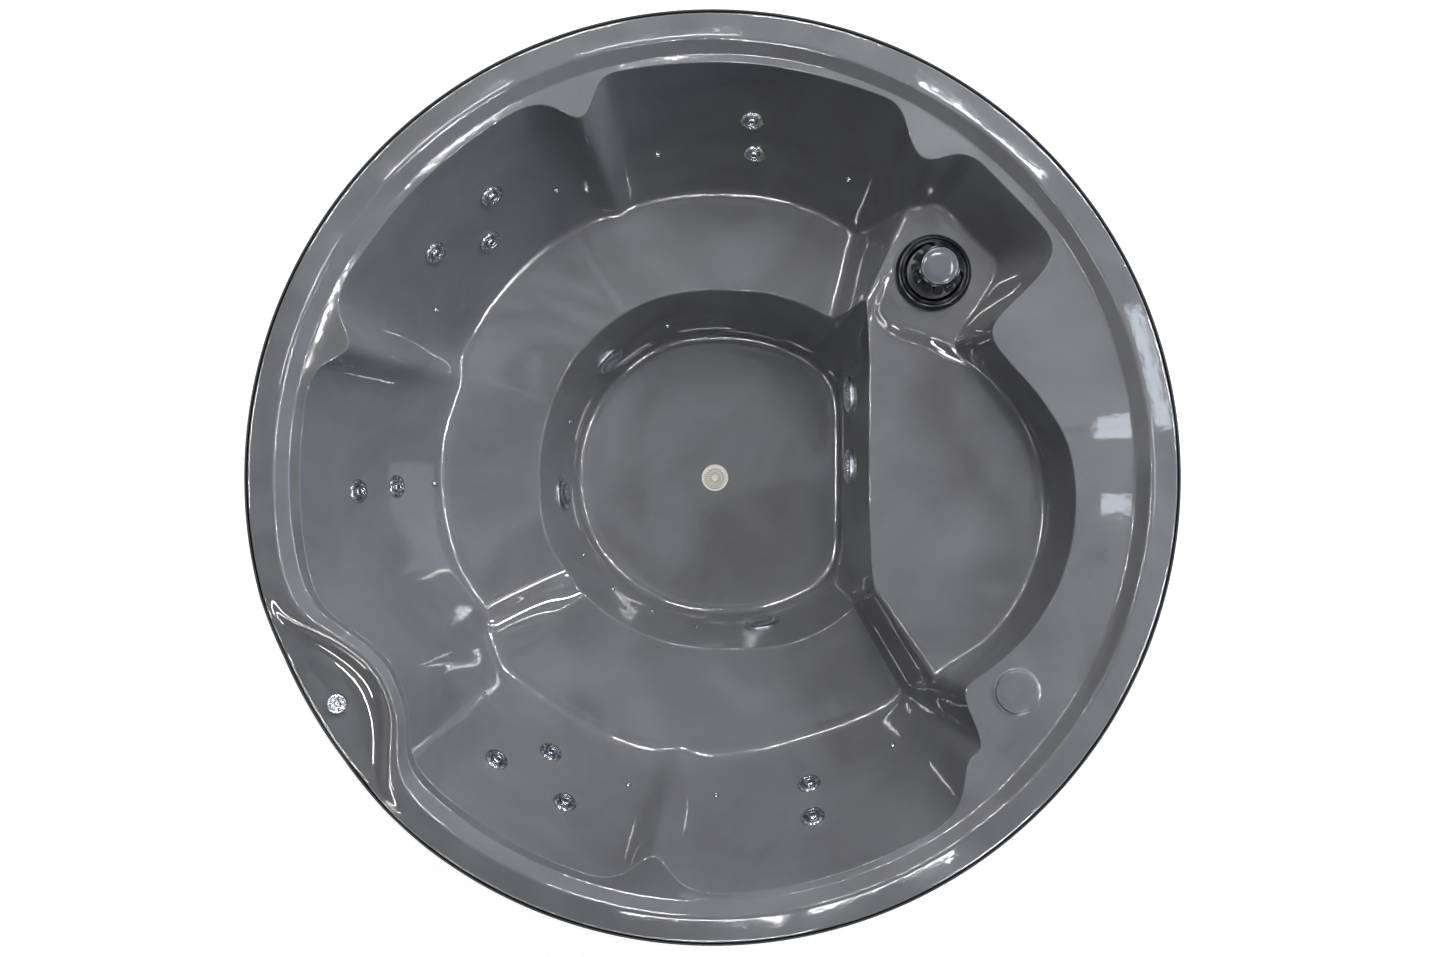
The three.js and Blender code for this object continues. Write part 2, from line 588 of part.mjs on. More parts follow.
function add(name, geometry, colour) {
  const [hex, roughness, metalness] = colours[colour];
  const material = new THREE.MeshStandardMaterial({ color: hex, roughness, metalness });
  const mesh = new THREE.Mesh(geometry, material);
  mesh.name = name;
  group.add(mesh);
  return mesh;
}

// Turns and moves a piece modelled along +Z so that it stands on the shell.
function seatFrame(place) {
  const turn = new THREE.Quaternion().setFromUnitVectors(new THREE.Vector3(0, 0, 1), place.normal);
  return new THREE.Matrix4().compose(place.point, turn, new THREE.Vector3(1, 1, 1));
}

function onSurface(mesh, place) {
  mesh.position.copy(place.point);
  mesh.quaternion.setFromUnitVectors(new THREE.Vector3(0, 0, 1), place.normal);
}

// Rings that the flat-faced model keeps of the upper surface and of its underside.
const upperRings = ["floorEdge", "floorUp", "benchEdge", "benchOut", "riserFoot",
  "riserTop", "seatIn", "seatBack", "seatUp", "backTop", "backOut", "groove", "crest", "crestFlat",
  "platformFoot", "rimEdge", "lip"].map((name) => ringNames.indexOf(name));
const lowerRings = ["floorEdge", "benchEdge", "riserFoot", "riserTop", "seatBack", "backTop",
  "groove", "crest", "crestFlat", "platformFoot", "rimEdge", "lip"]
  .map((name) => ringNames.indexOf(name));

// A point of the model's flat faces and the smooth surface's normal there.
function placeAt(angle, share, fromName, toName) {
  const column = columnAt(angle);
  const ring = ringAt(fromName, toName, share);
  const c = Math.floor(column);
  const k = upperRings.findIndex((r, i) => r <= ring && upperRings[i + 1] > ring);
  const along = (ring - upperRings[k]) / (upperRings[k + 1] - upperRings[k]);
  const edge = (side) => {
    const foot = surfacePoint(side, upperRings[k]);
    return foot.lerp(surfacePoint(side, upperRings[k + 1]), along);
  };
  return { point: edge(c).lerp(edge(c + 1), column - c), normal: surfaceNormal(column, ring) };
}

const jetPlaces = jetShares.map(([angle, share]) => placeAt(angle, share, "seatBack", "backTop"));
const injectorPlaces = injectorShares.map(([angle, share]) =>
  placeAt(angle, share, "seatBack", "backTop"));
const suctionPlaces = suctionShares.map(([angle, share]) =>
  placeAt(angle, share, "floorEdge", "benchEdge"));

// Shell: the upper surface and one that follows it a wall thickness below, closed along the lip.
function shellGeometry() {
  const points = [];
  const faces = [];
  const upper = (i, j) => 1 + (i % columnCount) * upperRings.length + j;
  points.push(new THREE.Vector3(0, 0, footwellZ - drainFall));
  for (let i = 0; i < columnCount; i += 1) {
    for (const j of upperRings) points.push(surfacePoint(i, j));
  }
  const start = points.length;
  const lower = (i, j) => start + 1 + (i % columnCount) * lowerRings.length + j;
  points.push(new THREE.Vector3(0, 0, footwellZ - drainFall - shellThickness));
  for (let i = 0; i < columnCount; i += 1) {
    for (const j of lowerRings) {
      const point = surfacePoint(i, j);
      const normal = surfaceNormal(i, j);
      if (j === ringCount - 1) normal.setZ(0).normalize();
      points.push(point.addScaledVector(normal, -shellThickness));
    }
  }
  for (let i = 0; i < columnCount; i += 1) {
    faces.push(0, upper(i, 0), upper(i + 1, 0));
    faces.push(start, lower(i + 1, 0), lower(i, 0));
    for (let j = 0; j + 1 < upperRings.length; j += 1) {
      faces.push(upper(i, j), upper(i, j + 1), upper(i + 1, j + 1));
      faces.push(upper(i, j), upper(i + 1, j + 1), upper(i + 1, j));
    }
    for (let j = 0; j + 1 < lowerRings.length; j += 1) {
      faces.push(lower(i, j), lower(i + 1, j + 1), lower(i, j + 1));
      faces.push(lower(i, j), lower(i + 1, j), lower(i + 1, j + 1));
    }
    const top = upperRings.length - 1;
    const under = lowerRings.length - 1;
    faces.push(upper(i, top), lower(i, under), upper(i + 1, top));
    faces.push(upper(i + 1, top), lower(i, under), lower(i + 1, under));
  }
  const geometry = new THREE.BufferGeometry();
  const numbers = points.flatMap((p) => p.toArray());
  geometry.setAttribute("position", new THREE.Float32BufferAttribute(numbers, 3));
  geometry.setIndex(faces);
  return geometry;
}

function drill(radius, reach, segments) {
  const half = reach / 2;
  return turned([[0, -half], [radius, -half], [radius, half], [0, half]], segments);
}

const holeReach = shellThickness * 8;
const jetHole = drill(jetBodyRadius + holeClearance, holeReach, 8);
const suctionHole = drill(suctionStubRadius + holeClearance, holeReach, 12);
const injectorHole = drill(injectorStubRadius + holeClearance, holeReach, 6);
const holes = [
  ...jetPlaces.map((place) => jetHole.clone().applyMatrix4(seatFrame(place))),
  ...suctionPlaces.map((place) => suctionHole.clone().applyMatrix4(seatFrame(place))),
  ...injectorPlaces.map((place) => injectorHole.clone().applyMatrix4(seatFrame(place))),
  drill(drainStubRadius + holeClearance, holeReach, 20).translate(0, 0, footwellZ),
  drill(bucketRadius + holeClearance, holeReach, filterSegments)
    .translate(filterX, filterY, filterPlatformZ),
  drill(airStemRadius + holeClearance, holeReach, 14).translate(airX, airY, controlPlatformZ),
];
const bossShelfZ = tubHeight - bossShelfDrop;
const boss = turned([
  [0, bossShelfZ - shellThickness / 2],
  [bossRadius, bossShelfZ - shellThickness / 2],
  [bossRadius, bossShelfZ + bossHeight - bossRound],
  [bossRadius - bossRound, bossShelfZ + bossHeight],
  [0, bossShelfZ + bossHeight],
], 20).translate(bossX, bossY, 0);
let shellSolid = toSolid(shellGeometry()).add(toSolid(boss));
for (const hole of holes) shellSolid = shellSolid.subtract(toSolid(hole));
add("shell", toGeometry(shellSolid), "acrylic");

// Black edging clipped round the outside of the rim. Its top goes down with the control platform.
const edging = turnedRing([
  [trimInnerRadius, trimBottom],
  [tubRadius - trimRound, trimBottom],
  [tubRadius, trimBottom + trimRound],
  [tubRadius, trimTop - trimRound],
  [tubRadius - trimRound, trimTop],
  [trimInnerRadius, trimTop],
], cabinetSegments);
const edgingAt = edging.attributes.position;
const edgingMiddle = (trimTop + trimBottom) / 2;
for (let i = 0; i < edgingAt.count; i += 1) {
  const angle = THREE.MathUtils.radToDeg(Math.atan2(edgingAt.getY(i), edgingAt.getX(i)));
  const drop = controlPlatformDrop * blend(columns, angle, 12);
  if (edgingAt.getZ(i) > edgingMiddle) edgingAt.setZ(i, edgingAt.getZ(i) - drop);
}
add("edge_trim", edging, "trim");

// Base plate.
add("base_pan", turned([
  [0, 0],
  [panelOuterRadius, 0],
  [panelOuterRadius, baseThickness],
  [0, baseThickness],
], cabinetSegments), "blackPlastic");

// Frame: a lower and an upper ring joined by posts.
const ringProfile = (z0) => [
  [frameInnerRadius, z0],
  [frameOuterRadius, z0],
  [frameOuterRadius, z0 + frameRingHeight],
  [frameInnerRadius, z0 + frameRingHeight],
];
const postBottom = panelBottom + frameRingHeight / 4;
const postHeight = frameTopRingZ + frameRingHeight / 2 - postBottom;
const posts = postAngles.map((angle) => {
  const box = new THREE.BoxGeometry(frameDepth - skinGap * 2, postWidth, postHeight);
  box.translate(frameInnerRadius + frameDepth / 2 - skinGap, 0, postBottom + postHeight / 2);
  return toSolid(box.rotateZ(radians(angle)));
});
const frameRings = [panelBottom, frameTopRingZ].map((z) =>
  toSolid(turnedRing(ringProfile(z), frameSegments)));
add("frame", toGeometry(joined([...frameRings, ...posts])), "frameWood");

// Cabinet of upright staves in three panels, with a hatch in the right one.
function panel(number) {
  const start = panelStartDegrees + panelDegrees * number + panelJointDegrees;
  const end = start + panelDegrees - panelJointDegrees * 2;
  return board(start, end, panelInnerRadius, panelOuterRadius, panelBottom, panelTop);
}
function panelCut(start, end, z0, z1) {
  const inner = panelInnerRadius - cutOverrun;
  return toSolid(board(start, end, inner, panelOuterRadius + cutOverrun, z0, z1));
}
const hatch = panelCut(-doorHalfDegrees, doorHalfDegrees, doorBottom, doorTop);
const controlCut = panelCut(controlSideStart, controlSideEnd, controlPanelTop, tubHeight);
add("skirt_panel_right", toGeometry(toSolid(panel(0)).subtract(hatch)), "stave");
add("skirt_panel_back", panel(1), "stave");
add("skirt_panel_front", toGeometry(toSolid(panel(2)).subtract(controlCut)), "stave");
add("access_door", board(-doorHalfDegrees + doorGapDegrees, doorHalfDegrees - doorGapDegrees,
  panelInnerRadius, panelOuterRadius, doorBottom + touchGap, doorTop - skinGap), "stave");

// Metal hoops round the staves, above and below the hatch.
function hoop(z0) {
  const inner = panelOuterRadius + touchGap;
  return turnedRing([
    [inner, z0],
    [inner + bandThickness, z0],
    [inner + bandThickness, z0 + bandHeight],
    [inner, z0 + bandHeight],
  ], cabinetSegments);
}
add("band_lower", hoop(lowerBandZ), "steel");
add("band_upper", hoop(upperBandZ), "steel");

// Jets: a body clamped behind the shell and a turning face in front.
const jetBodyGeometry = turned([
  [0, -jetBodyLength],
  [jetNutRadius, -jetBodyLength],
  [jetNutRadius, -shellThickness - nutGap],
  [jetBodyRadius, -shellThickness - nutGap],
  [jetBodyRadius, 0],
  [jetBoreRadius, 0],
  [jetBoreRadius, -jetStubDepth - skinGap],
  [0, -jetStubDepth - skinGap],
], 8);
const jetFaceGeometry = turned([
  [0, -jetStubDepth],
  [jetStubRadius, -jetStubDepth],
  [jetStubRadius, jetLift],
  [jetFaceRadius, jetLift],
  [jetFaceRadius * 0.85, jetLift + jetFaceHeight],
  [jetNozzleRadius, jetLift + jetFaceHeight * 0.5],
  [jetNozzleRadius * 0.7, jetLift + jetNozzleHeight],
  [0, jetLift + jetNozzleHeight],
], 10);
jetPlaces.forEach((place, i) => {
  onSurface(add(`jet_body_${i + 1}`, jetBodyGeometry, "greyPlastic"), place);
  onSurface(add(`jet_face_${i + 1}`, jetFaceGeometry, "chrome"), place);
});

// Suction covers in the footwell, with their threaded stubs through the wall.
const suctionGeometry = turned([
  [0, -suctionStubLength],
  [suctionStubRadius, -suctionStubLength],
  [suctionStubRadius, suctionLift],
  [suctionRadius, suctionLift],
  [suctionRadius, suctionLift + suctionHeight * 0.35],
  [suctionRadius * 0.75, suctionLift + suctionHeight],
  [0, suctionLift + suctionHeight],
], 12);
suctionPlaces.forEach((place, i) => {
  onSurface(add(`suction_cover_${i + 1}`, suctionGeometry, "pale"), place);
});

// Floor drain.
const drainZ = footwellZ - drainFall;
add("floor_drain", turned([
  [0, -drainStubLength],
  [drainStubRadius, -drainStubLength],
  [drainStubRadius, skinGap],
  [drainRadius, skinGap],
  [drainRadius, skinGap + drainHeight * 0.5],
  [drainRadius * 0.8, skinGap + drainHeight],
  [0, skinGap + drainHeight],
], 20), "pale").position.set(0, 0, drainZ);

// Air injectors.
const injectorGeometry = turned([
  [0, -injectorStubLength],
  [injectorStubRadius, -injectorStubLength],
  [injectorStubRadius, injectorLift],
  [injectorRadius, injectorLift],
  [injectorRadius * 0.75, injectorLift + injectorHeight],
  [0, injectorLift + injectorHeight],
], 6);
injectorPlaces.forEach((place, i) => {
  onSurface(add(`air_injector_${i + 1}`, injectorGeometry, "chrome"), place);
});

// Filter: bucket hung in the platform, collar over its flange, cartridge, and the notched cap.
const bucketTop = bucketLift + bucketFlangeHeight;
const flangeRadius = bucketRadius + bucketFlangeWidth;
add("filter_bucket", turned([
  [0, -bucketDepth],
  [bucketRadius, -bucketDepth],
  [bucketRadius, bucketLift],
  [flangeRadius, bucketLift],
  [flangeRadius, bucketTop],
  [bucketRadius - bucketWall, bucketTop],
  [bucketRadius - bucketWall, bucketWall - bucketDepth],
  [0, bucketWall - bucketDepth],
], filterSegments), "blackPlastic").position.set(filterX, filterY, filterPlatformZ);
const collarBottom = bucketTop + touchGap;
const collarTop = collarBottom + collarHeight;
const collarRadius = flangeRadius + collarOverhang;
const collarInnerRadius = collarRadius - collarWidth;
add("filter_collar", turnedRing([
  [collarInnerRadius, collarBottom],
  [collarRadius, collarBottom],
  [collarRadius, collarBottom + collarHeight * 0.6],
  [collarRadius - collarWidth * 0.3, collarTop],
  [collarInnerRadius + collarBevel, collarTop],
  [collarInnerRadius, collarTop - collarBevel],
], filterSegments), "blackPlastic").position.set(filterX, filterY, filterPlatformZ);
const pleatShape = new THREE.Shape();
pleatShape.setFromPoints(Array.from({ length: cartridgePleats * 2 }, (_, i) => {
  const p = polar((180 * i) / cartridgePleats, i % 2 ? cartridgeValleyRadius : cartridgeRadius, 0);
  return new THREE.Vector2(p.x, p.y);
}));
const bore = new THREE.Path();
bore.absarc(0, 0, cartridgeBoreRadius, 0, Math.PI * 2, true);
pleatShape.holes.push(bore);
const cartridgeBottom = bucketWall - bucketDepth + touchGap;
const cartridgeTop = bucketTop;
add("filter_cartridge", cleaned(new THREE.ExtrudeGeometry(pleatShape, {
  depth: cartridgeTop - cartridgeBottom,
  bevelEnabled: false,
  curveSegments: 7,
}).translate(0, 0, cartridgeBottom)), "paper").position.set(filterX, filterY, filterPlatformZ);
const capBottom = cartridgeTop + touchGap;
const capTabRadius = capCoreRadius + capTabReach;
const capSolid = toSolid(turned([
  [0, capBottom - capSpigotLength],
  [capSpigotRadius, capBottom - capSpigotLength],
  [capSpigotRadius, capBottom],
  [capCoreRadius, capBottom],
  [capCoreRadius, capTabFoot],
  [capTabRadius, capTabFoot],
  [capTabRadius, capTabFoot + capTabEdge],
  [capTopRadius + capBevel / 2, capRise - capBevel],
  [capTopRadius - capBevel, capRise],
  [0, capRise],
], filterSegments));
const notchHeight = capRise - capBevel * 2 - capTabFoot;
const notchBox = new THREE.BoxGeometry(capTabReach * 2, capNotchWidth, notchHeight + cutOverrun);
notchBox.translate(capCoreRadius + capTabReach, 0, capTabFoot + (notchHeight - cutOverrun) / 2);
const notches = Array.from({ length: capTabs }, (_, i) =>
  toSolid(notchBox.clone().rotateZ((2 * Math.PI * (i + 0.5)) / capTabs)));
add("filter_cap", toGeometry(notches.reduce((solid, notch) => solid.subtract(notch), capSolid)),
  "blackPlastic").position.set(filterX, filterY, filterPlatformZ);

// Air control: a valve body clamped in the platform and the knob on its spigot.
add("air_control_body", turned([
  [0, -airBodyDepth],
  [airStemRadius, -airBodyDepth],
  [airStemRadius, skinGap],
  [airFlangeRadius, skinGap],
  [airFlangeRadius, airFlangeHeight],
  [airSpigotRadius + touchGap, airFlangeHeight],
  [airSpigotRadius + touchGap, -airBodyDepth / 3],
  [0, -airBodyDepth / 3],
], 14), "greyPlastic").position.set(airX, airY, controlPlatformZ);
const knobSolid = toSolid(turned([
  [0, -airBodyDepth / 3 + touchGap],
  [airSpigotRadius, -airBodyDepth / 3 + touchGap],
  [airSpigotRadius, airKnobLift],
  [airKnobRadius, airKnobLift],
  [airKnobRadius, airKnobLift + airKnobHeight * 0.5],
  [airKnobRadius * 0.85, airKnobLift + airKnobHeight * 0.7],
  [0, airKnobLift + airKnobHeight * 0.7],
], 16));
const knobRibs = Array.from({ length: airKnobRibs / 2 }, (_, i) => {
  const rib = new THREE.BoxGeometry(airKnobRadius * 1.7, airRibWidth, airRibHeight);
  rib.translate(0, 0, airKnobLift + airKnobHeight * 0.7);
  return toSolid(rib.rotateZ((2 * Math.PI * i) / airKnobRibs));
});
add("air_control_knob", toGeometry(joined([knobSolid, ...knobRibs])), "chrome")
  .position.set(airX, airY, controlPlatformZ);

// Pump: wet end with its inlet towards +Y and a motor behind it, lying along Y.
const alongY = (geometry) => geometry.rotateX(Math.PI / 2);
add("pump_wet_end", alongY(turned([
  [0, 0],
  [pumpWetRadius * 0.6, 0],
  [pumpWetRadius, pumpWetLength * 0.15],
  [pumpWetRadius, pumpWetLength],
  [0, pumpWetLength],
], 20)), "blackPlastic").position.set(pumpX, pumpWetY, pumpAxisZ);
const motorStart = pumpWetLength + touchGap;
const motorBody = toSolid(alongY(turned([
  [0, motorStart],
  [pumpMotorRadius, motorStart],
  [pumpMotorRadius, motorStart + pumpMotorLength * 0.92],
  [pumpMotorRadius * 0.8, motorStart + pumpMotorLength],
  [0, motorStart + pumpMotorLength],
], 20)));
const footHeight = pumpAxisZ - panelBottom - pumpMotorRadius + pumpFootHeight;
const footLength = pumpMotorLength - pumpFootInset * 2;
const footBox = new THREE.BoxGeometry(pumpFootWidth, footLength, footHeight);
footBox.translate(0, -motorStart - pumpMotorLength / 2, panelBottom + footHeight / 2 - pumpAxisZ);
add("pump_motor", toGeometry(motorBody.add(toSolid(footBox))), "greyPlastic")
  .position.set(pumpX, pumpWetY, pumpAxisZ);

// Control pack with the heater.
add("control_pack", new THREE.BoxGeometry(packWidth, packDepth, packHeight), "greyPlastic")
  .position.set(packX, packY, panelBottom + packHeight / 2);

// A pipe through a list of corner points, each corner rounded by the bend length.
function pipe(corners) {
  const path = new THREE.CurvePath();
  let at = corners[0];
  for (let i = 1; i + 1 < corners.length; i += 1) {
    const bent = (to) => corners[i].clone().add(to.clone().sub(corners[i]).setLength(pipeBend));
    const before = bent(corners[i - 1]);
    const after = bent(corners[i + 1]);
    path.add(new THREE.LineCurve3(at, before));
    path.add(new THREE.QuadraticBezierCurve3(before, corners[i], after));
    at = after;
  }
  path.add(new THREE.LineCurve3(at, corners[corners.length - 1]));
  const round = new THREE.Shape();
  round.absarc(0, 0, pipeRadius, 0, Math.PI * 2, false);
  return cleaned(new THREE.ExtrudeGeometry(round, { steps: 14, curveSegments: 4, extrudePath: path }));
}
const intake = suctionPlaces[suctionPlaces.length - 1];
const intakeEnd = intake.point.clone().addScaledVector(intake.normal, -suctionStubLength - touchGap);
const intakeSlope = intake.normal.z / intake.normal.x;
add("suction_pipe", pipe([
  intakeEnd,
  new THREE.Vector3(pumpX, intakeEnd.y, intakeEnd.z + (pumpX - intakeEnd.x) * intakeSlope),
  new THREE.Vector3(pumpX, intakeEnd.y, pumpAxisZ),
  new THREE.Vector3(pumpX, pumpWetY + touchGap, pumpAxisZ),
]), "pale");
const dischargeY = pumpWetY - pumpWetLength / 2;
const dischargeTop = pumpAxisZ + pumpWetRadius + dischargeRise;
add("pressure_pipe", pipe([
  new THREE.Vector3(pumpX, dischargeY, pumpAxisZ + pumpWetRadius + touchGap),
  new THREE.Vector3(pumpX, dischargeY, dischargeTop),
  new THREE.Vector3(packX, dischargeY, dischargeTop),
  new THREE.Vector3(packX, packY - packDepth / 2 - touchGap, dischargeTop),
]), "pale");

export default group;
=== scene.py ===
import math
import bpy
import numpy as np
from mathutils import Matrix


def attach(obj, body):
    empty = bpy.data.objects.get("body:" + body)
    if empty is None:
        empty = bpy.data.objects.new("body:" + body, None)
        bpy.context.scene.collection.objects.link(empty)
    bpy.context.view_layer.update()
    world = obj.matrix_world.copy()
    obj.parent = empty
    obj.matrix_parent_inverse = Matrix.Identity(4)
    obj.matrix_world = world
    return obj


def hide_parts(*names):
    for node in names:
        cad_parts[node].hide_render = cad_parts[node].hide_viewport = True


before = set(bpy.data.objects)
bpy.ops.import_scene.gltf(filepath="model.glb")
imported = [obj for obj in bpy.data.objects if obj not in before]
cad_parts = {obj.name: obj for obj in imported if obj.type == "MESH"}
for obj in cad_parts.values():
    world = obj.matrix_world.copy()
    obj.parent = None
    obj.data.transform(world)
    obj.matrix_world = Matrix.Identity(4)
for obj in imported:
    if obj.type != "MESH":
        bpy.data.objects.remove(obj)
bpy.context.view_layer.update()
mm = 0.001

# camera: straight above the tub, as the photograph was taken
cameraSetup = dict(place=(0.021, -0.002, 3.390), lens=29.547, sensor=36.0)
cameraData = bpy.data.cameras.new("photo_camera")
cameraData.lens = cameraSetup["lens"]
cameraData.sensor_width = cameraSetup["sensor"]
camera = bpy.data.objects.new("photo_camera", cameraData)
camera.location = cameraSetup["place"]
bpy.context.scene.collection.objects.link(camera)
bpy.context.scene.camera = camera
bpy.context.scene.view_settings.view_transform = "Standard"
print("camera placed")


# sRGB hex to linear: c / 12.92 below 0.04045, else ((c + 0.055) / 1.055) to the power 2.4
def toLinear(hexColour):
    c = np.array([int(hexColour[i:i + 2], 16) for i in (1, 3, 5)]) / 255
    linear = np.where(c <= 0.04045, c / 12.92, ((c + 0.055) / 1.055) ** 2.4)
    return (*linear.tolist(), 1.0)


# adds a shader node: sockets are linked or set from the dictionary, the rest are its settings
def addNode(tree, kind, sockets=None, **settings):
    node = tree.nodes.new("ShaderNode" + kind)
    for key, value in settings.items():
        setattr(node, key, value)
    for key, value in (sockets or {}).items():
        if isinstance(value, bpy.types.NodeSocket):
            tree.links.new(value, node.inputs[key])
        else:
            node.inputs[key].default_value = value
    return node


# an empty node material and its tree
def newMaterial(name):
    material = bpy.data.materials.new(name)
    material.use_nodes = True
    material.node_tree.nodes.clear()
    return material, material.node_tree


# the place on the object in metres
def objectPlace(tree):
    return addNode(tree, "TexCoord").outputs["Object"]


# noise from 0 to 1 with its grain in millimetres
def noise(tree, place, grain, detail, **sockets):
    sockets.update(Vector=place, Scale=1 / (grain * mm), Detail=detail)
    return addNode(tree, "TexNoise", sockets).outputs["Fac"]


# a value carried from the span low to high over to the span toLow to toHigh, held at the ends
def ranged(tree, value, low=0, high=1, toLow=0, toHigh=1):
    sockets = {"Value": value, "From Min": low, "From Max": high, "To Min": toLow, "To Max": toHigh}
    return addNode(tree, "MapRange", sockets).outputs[0]


# a mix of two colours, each a hex string or the output of a node
def mixed(tree, share, first, second, **settings):
    first, second = (toLinear(c) if isinstance(c, str) else c for c in (first, second))
    sockets = {"Factor": share, 6: first, 7: second}
    return addNode(tree, "Mix", sockets, data_type="RGBA", **settings).outputs[2]


# a normal bent by a height that reaches the depth in metres
def bumped(tree, height, strength, depth, **sockets):
    sockets.update(Height=height, Strength=strength, Distance=depth)
    return addNode(tree, "Bump", sockets).outputs[0]


# closes a material with a principled surface
def closeMaterial(tree, colour, roughness, normal, **sockets):
    sockets.update({"Base Color": colour, "Roughness": roughness, "Normal": normal})
    shader = addNode(tree, "BsdfPrincipled", sockets)
    addNode(tree, "OutputMaterial", {"Surface": shader.outputs[0]})


# x = r cos a, y = r sin a, with the angle in degrees
def polar(angle, radius, z):
    turn = np.radians(angle)
    placed = np.broadcast_arrays(radius * np.cos(turn), radius * np.sin(turn), z)
    return np.stack(placed, -1).astype(float)


# mesh from points in millimetres and arrays of faces with three, four or more corners
def makeMesh(name, points, faceSets):
    mesh = bpy.data.meshes.new(name)
    faceSets = [np.asarray(f) for f in faceSets if len(f)]
    corners = np.concatenate([f.ravel() for f in faceSets]).astype(np.int32)
    sizes = np.concatenate([np.full(len(f), f.shape[1]) for f in faceSets])
    starts = np.concatenate([[0], np.cumsum(sizes)[:-1]]).astype(np.int32)
    mesh.vertices.add(len(points))
    mesh.loops.add(len(corners))
    mesh.polygons.add(len(sizes))
    mesh.vertices.foreach_set("co", (np.asarray(points) * mm).astype(np.float32).ravel())
    mesh.loops.foreach_set("vertex_index", corners)
    mesh.polygons.foreach_set("loop_start", starts)
    mesh.update(calc_edges=True)
    return mesh


# one mesh of several (points, [faces...], [material index per face set]) parts
def joinParts(parts):
    start, points, faceSets, slots = 0, [], [], []
    for part in parts:
        points.append(part[0])
        for k, faces in enumerate(part[1]):
            faceSets.append(np.asarray(faces) + start)
            slots.append(part[2][k] if len(part) > 2 else 0)
        start += len(part[0])
    return np.concatenate(points), faceSets, slots


# a piece of one material or a list of them, and of one part or a list
def addPiece(name, body, slot, materials, parts, sharp=35, *replaced):
    materials = materials if isinstance(materials, list) else [materials]
    points, faceSets, slots = joinParts(parts if isinstance(parts, list) else [parts])
    mesh = makeMesh(name, points, faceSets)
    index = np.concatenate([np.full(len(f), s) for f, s in zip(faceSets, slots)]).astype(np.int32)
    mesh.polygons.foreach_set("material_index", index)
    mesh.polygons.foreach_set("use_smooth", np.ones(len(index), bool))
    mesh.set_sharp_from_angle(angle=math.radians(sharp))
    for material in materials:
        mesh.materials.append(material)
    piece = bpy.data.objects.new(name, mesh)
    bpy.context.scene.collection.objects.link(piece)
    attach(piece, body)
    if replaced:
        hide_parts(*replaced)
    return piece


# quads over a grid of n by m points, closed in the first direction and, for a ring, in both
def gridFaces(n, m, first=0, ring=False):
    i, j = np.meshgrid(np.arange(n), np.arange(m if ring else m - 1), indexing="ij")
    i, j = i.ravel(), j.ravel()
    k, after = (i + 1) % n, (j + 1) % m
    return first + np.stack([i * m + j, k * m + j, k * m + after, i * m + after], -1)


# triangles from a middle point to each pair of neighbours in a closed row of n points
def fan(middle, first, n, step, flip=False):
    i = np.arange(n)
    here, after = first + i * step, first + (i + 1) % n * step
    return np.stack([np.full(n, middle), *((after, here) if flip else (here, after))], -1)


# fans that close both ends of such a grid round the two points that come after it
def endFans(n, m):
    return np.vstack([fan(n * m, 0, n, m, True), fan(n * m + 1, m - 1, n, m)])


# a prism from a grid of points: the first direction goes round, one face closes each end
def prismPart(grid):
    n, m = grid.shape[:2]
    ring = np.arange(n) * m
    return grid.reshape(-1, 3), [gridFaces(n, m), (ring + m - 1)[None], ring[::-1][None]]


# corners of a profile replaced by quadratic arcs that start a radius away from the corner
def softened(profile, radius, steps=3, closed=False):
    p = np.array(profile, float)
    before, after = np.roll(p, 1, 0), np.roll(p, -1, 0)
    toBefore, toAfter = before - p, after - p
    lengthBefore = np.linalg.norm(toBefore, axis=1, keepdims=True)
    lengthAfter = np.linalg.norm(toAfter, axis=1, keepdims=True)
    a = p + toBefore / lengthBefore * np.minimum(radius, lengthBefore * 0.4)
    b = p + toAfter / lengthAfter * np.minimum(radius, lengthAfter * 0.4)
    t = np.linspace(0, 1, steps + 1)[None, :, None]
    arcs = (1 - t) ** 2 * a[:, None] + 2 * t * (1 - t) * p[:, None] + t ** 2 * b[:, None]
    if closed:
        return arcs.reshape(-1, 2)
    return np.vstack([p[:1], arcs[1:-1].reshape(-1, 2), p[-1:]])


# a surface of revolution: each profile point (r, z) swept round +Z. An open profile runs from the
# axis at the bottom to the axis at the top. reshape(angle, r, z) may move the swept points
def turnedPart(profile, segments, reshape=None, ring=False, angles=None):
    p = np.array(profile, float)
    turn = np.linspace(0, 360, segments, endpoint=False) if angles is None else angles
    swept = p if ring else p[1:-1]
    n, m = len(turn), len(swept)
    angle = np.repeat(turn[:, None], m, 1)
    r, z = np.repeat(swept[None, :, 0], n, 0), np.repeat(swept[None, :, 1], n, 0)
    if reshape is not None:
        r, z = reshape(angle, r, z)
    points = polar(angle, r, z).reshape(-1, 3)
    if ring:
        return points, [gridFaces(n, m, ring=True)]
    points = np.vstack([points, [[0, 0, p[0, 1]], [0, 0, p[-1, 1]]]])
    return points, [gridFaces(n, m), endFans(n, m)]


# the same of a profile with softened corners
def lathed(profile, rounding, steps, segments, reshape=None, ring=False):
    return turnedPart(softened(profile, rounding, steps, ring), segments, reshape, ring)


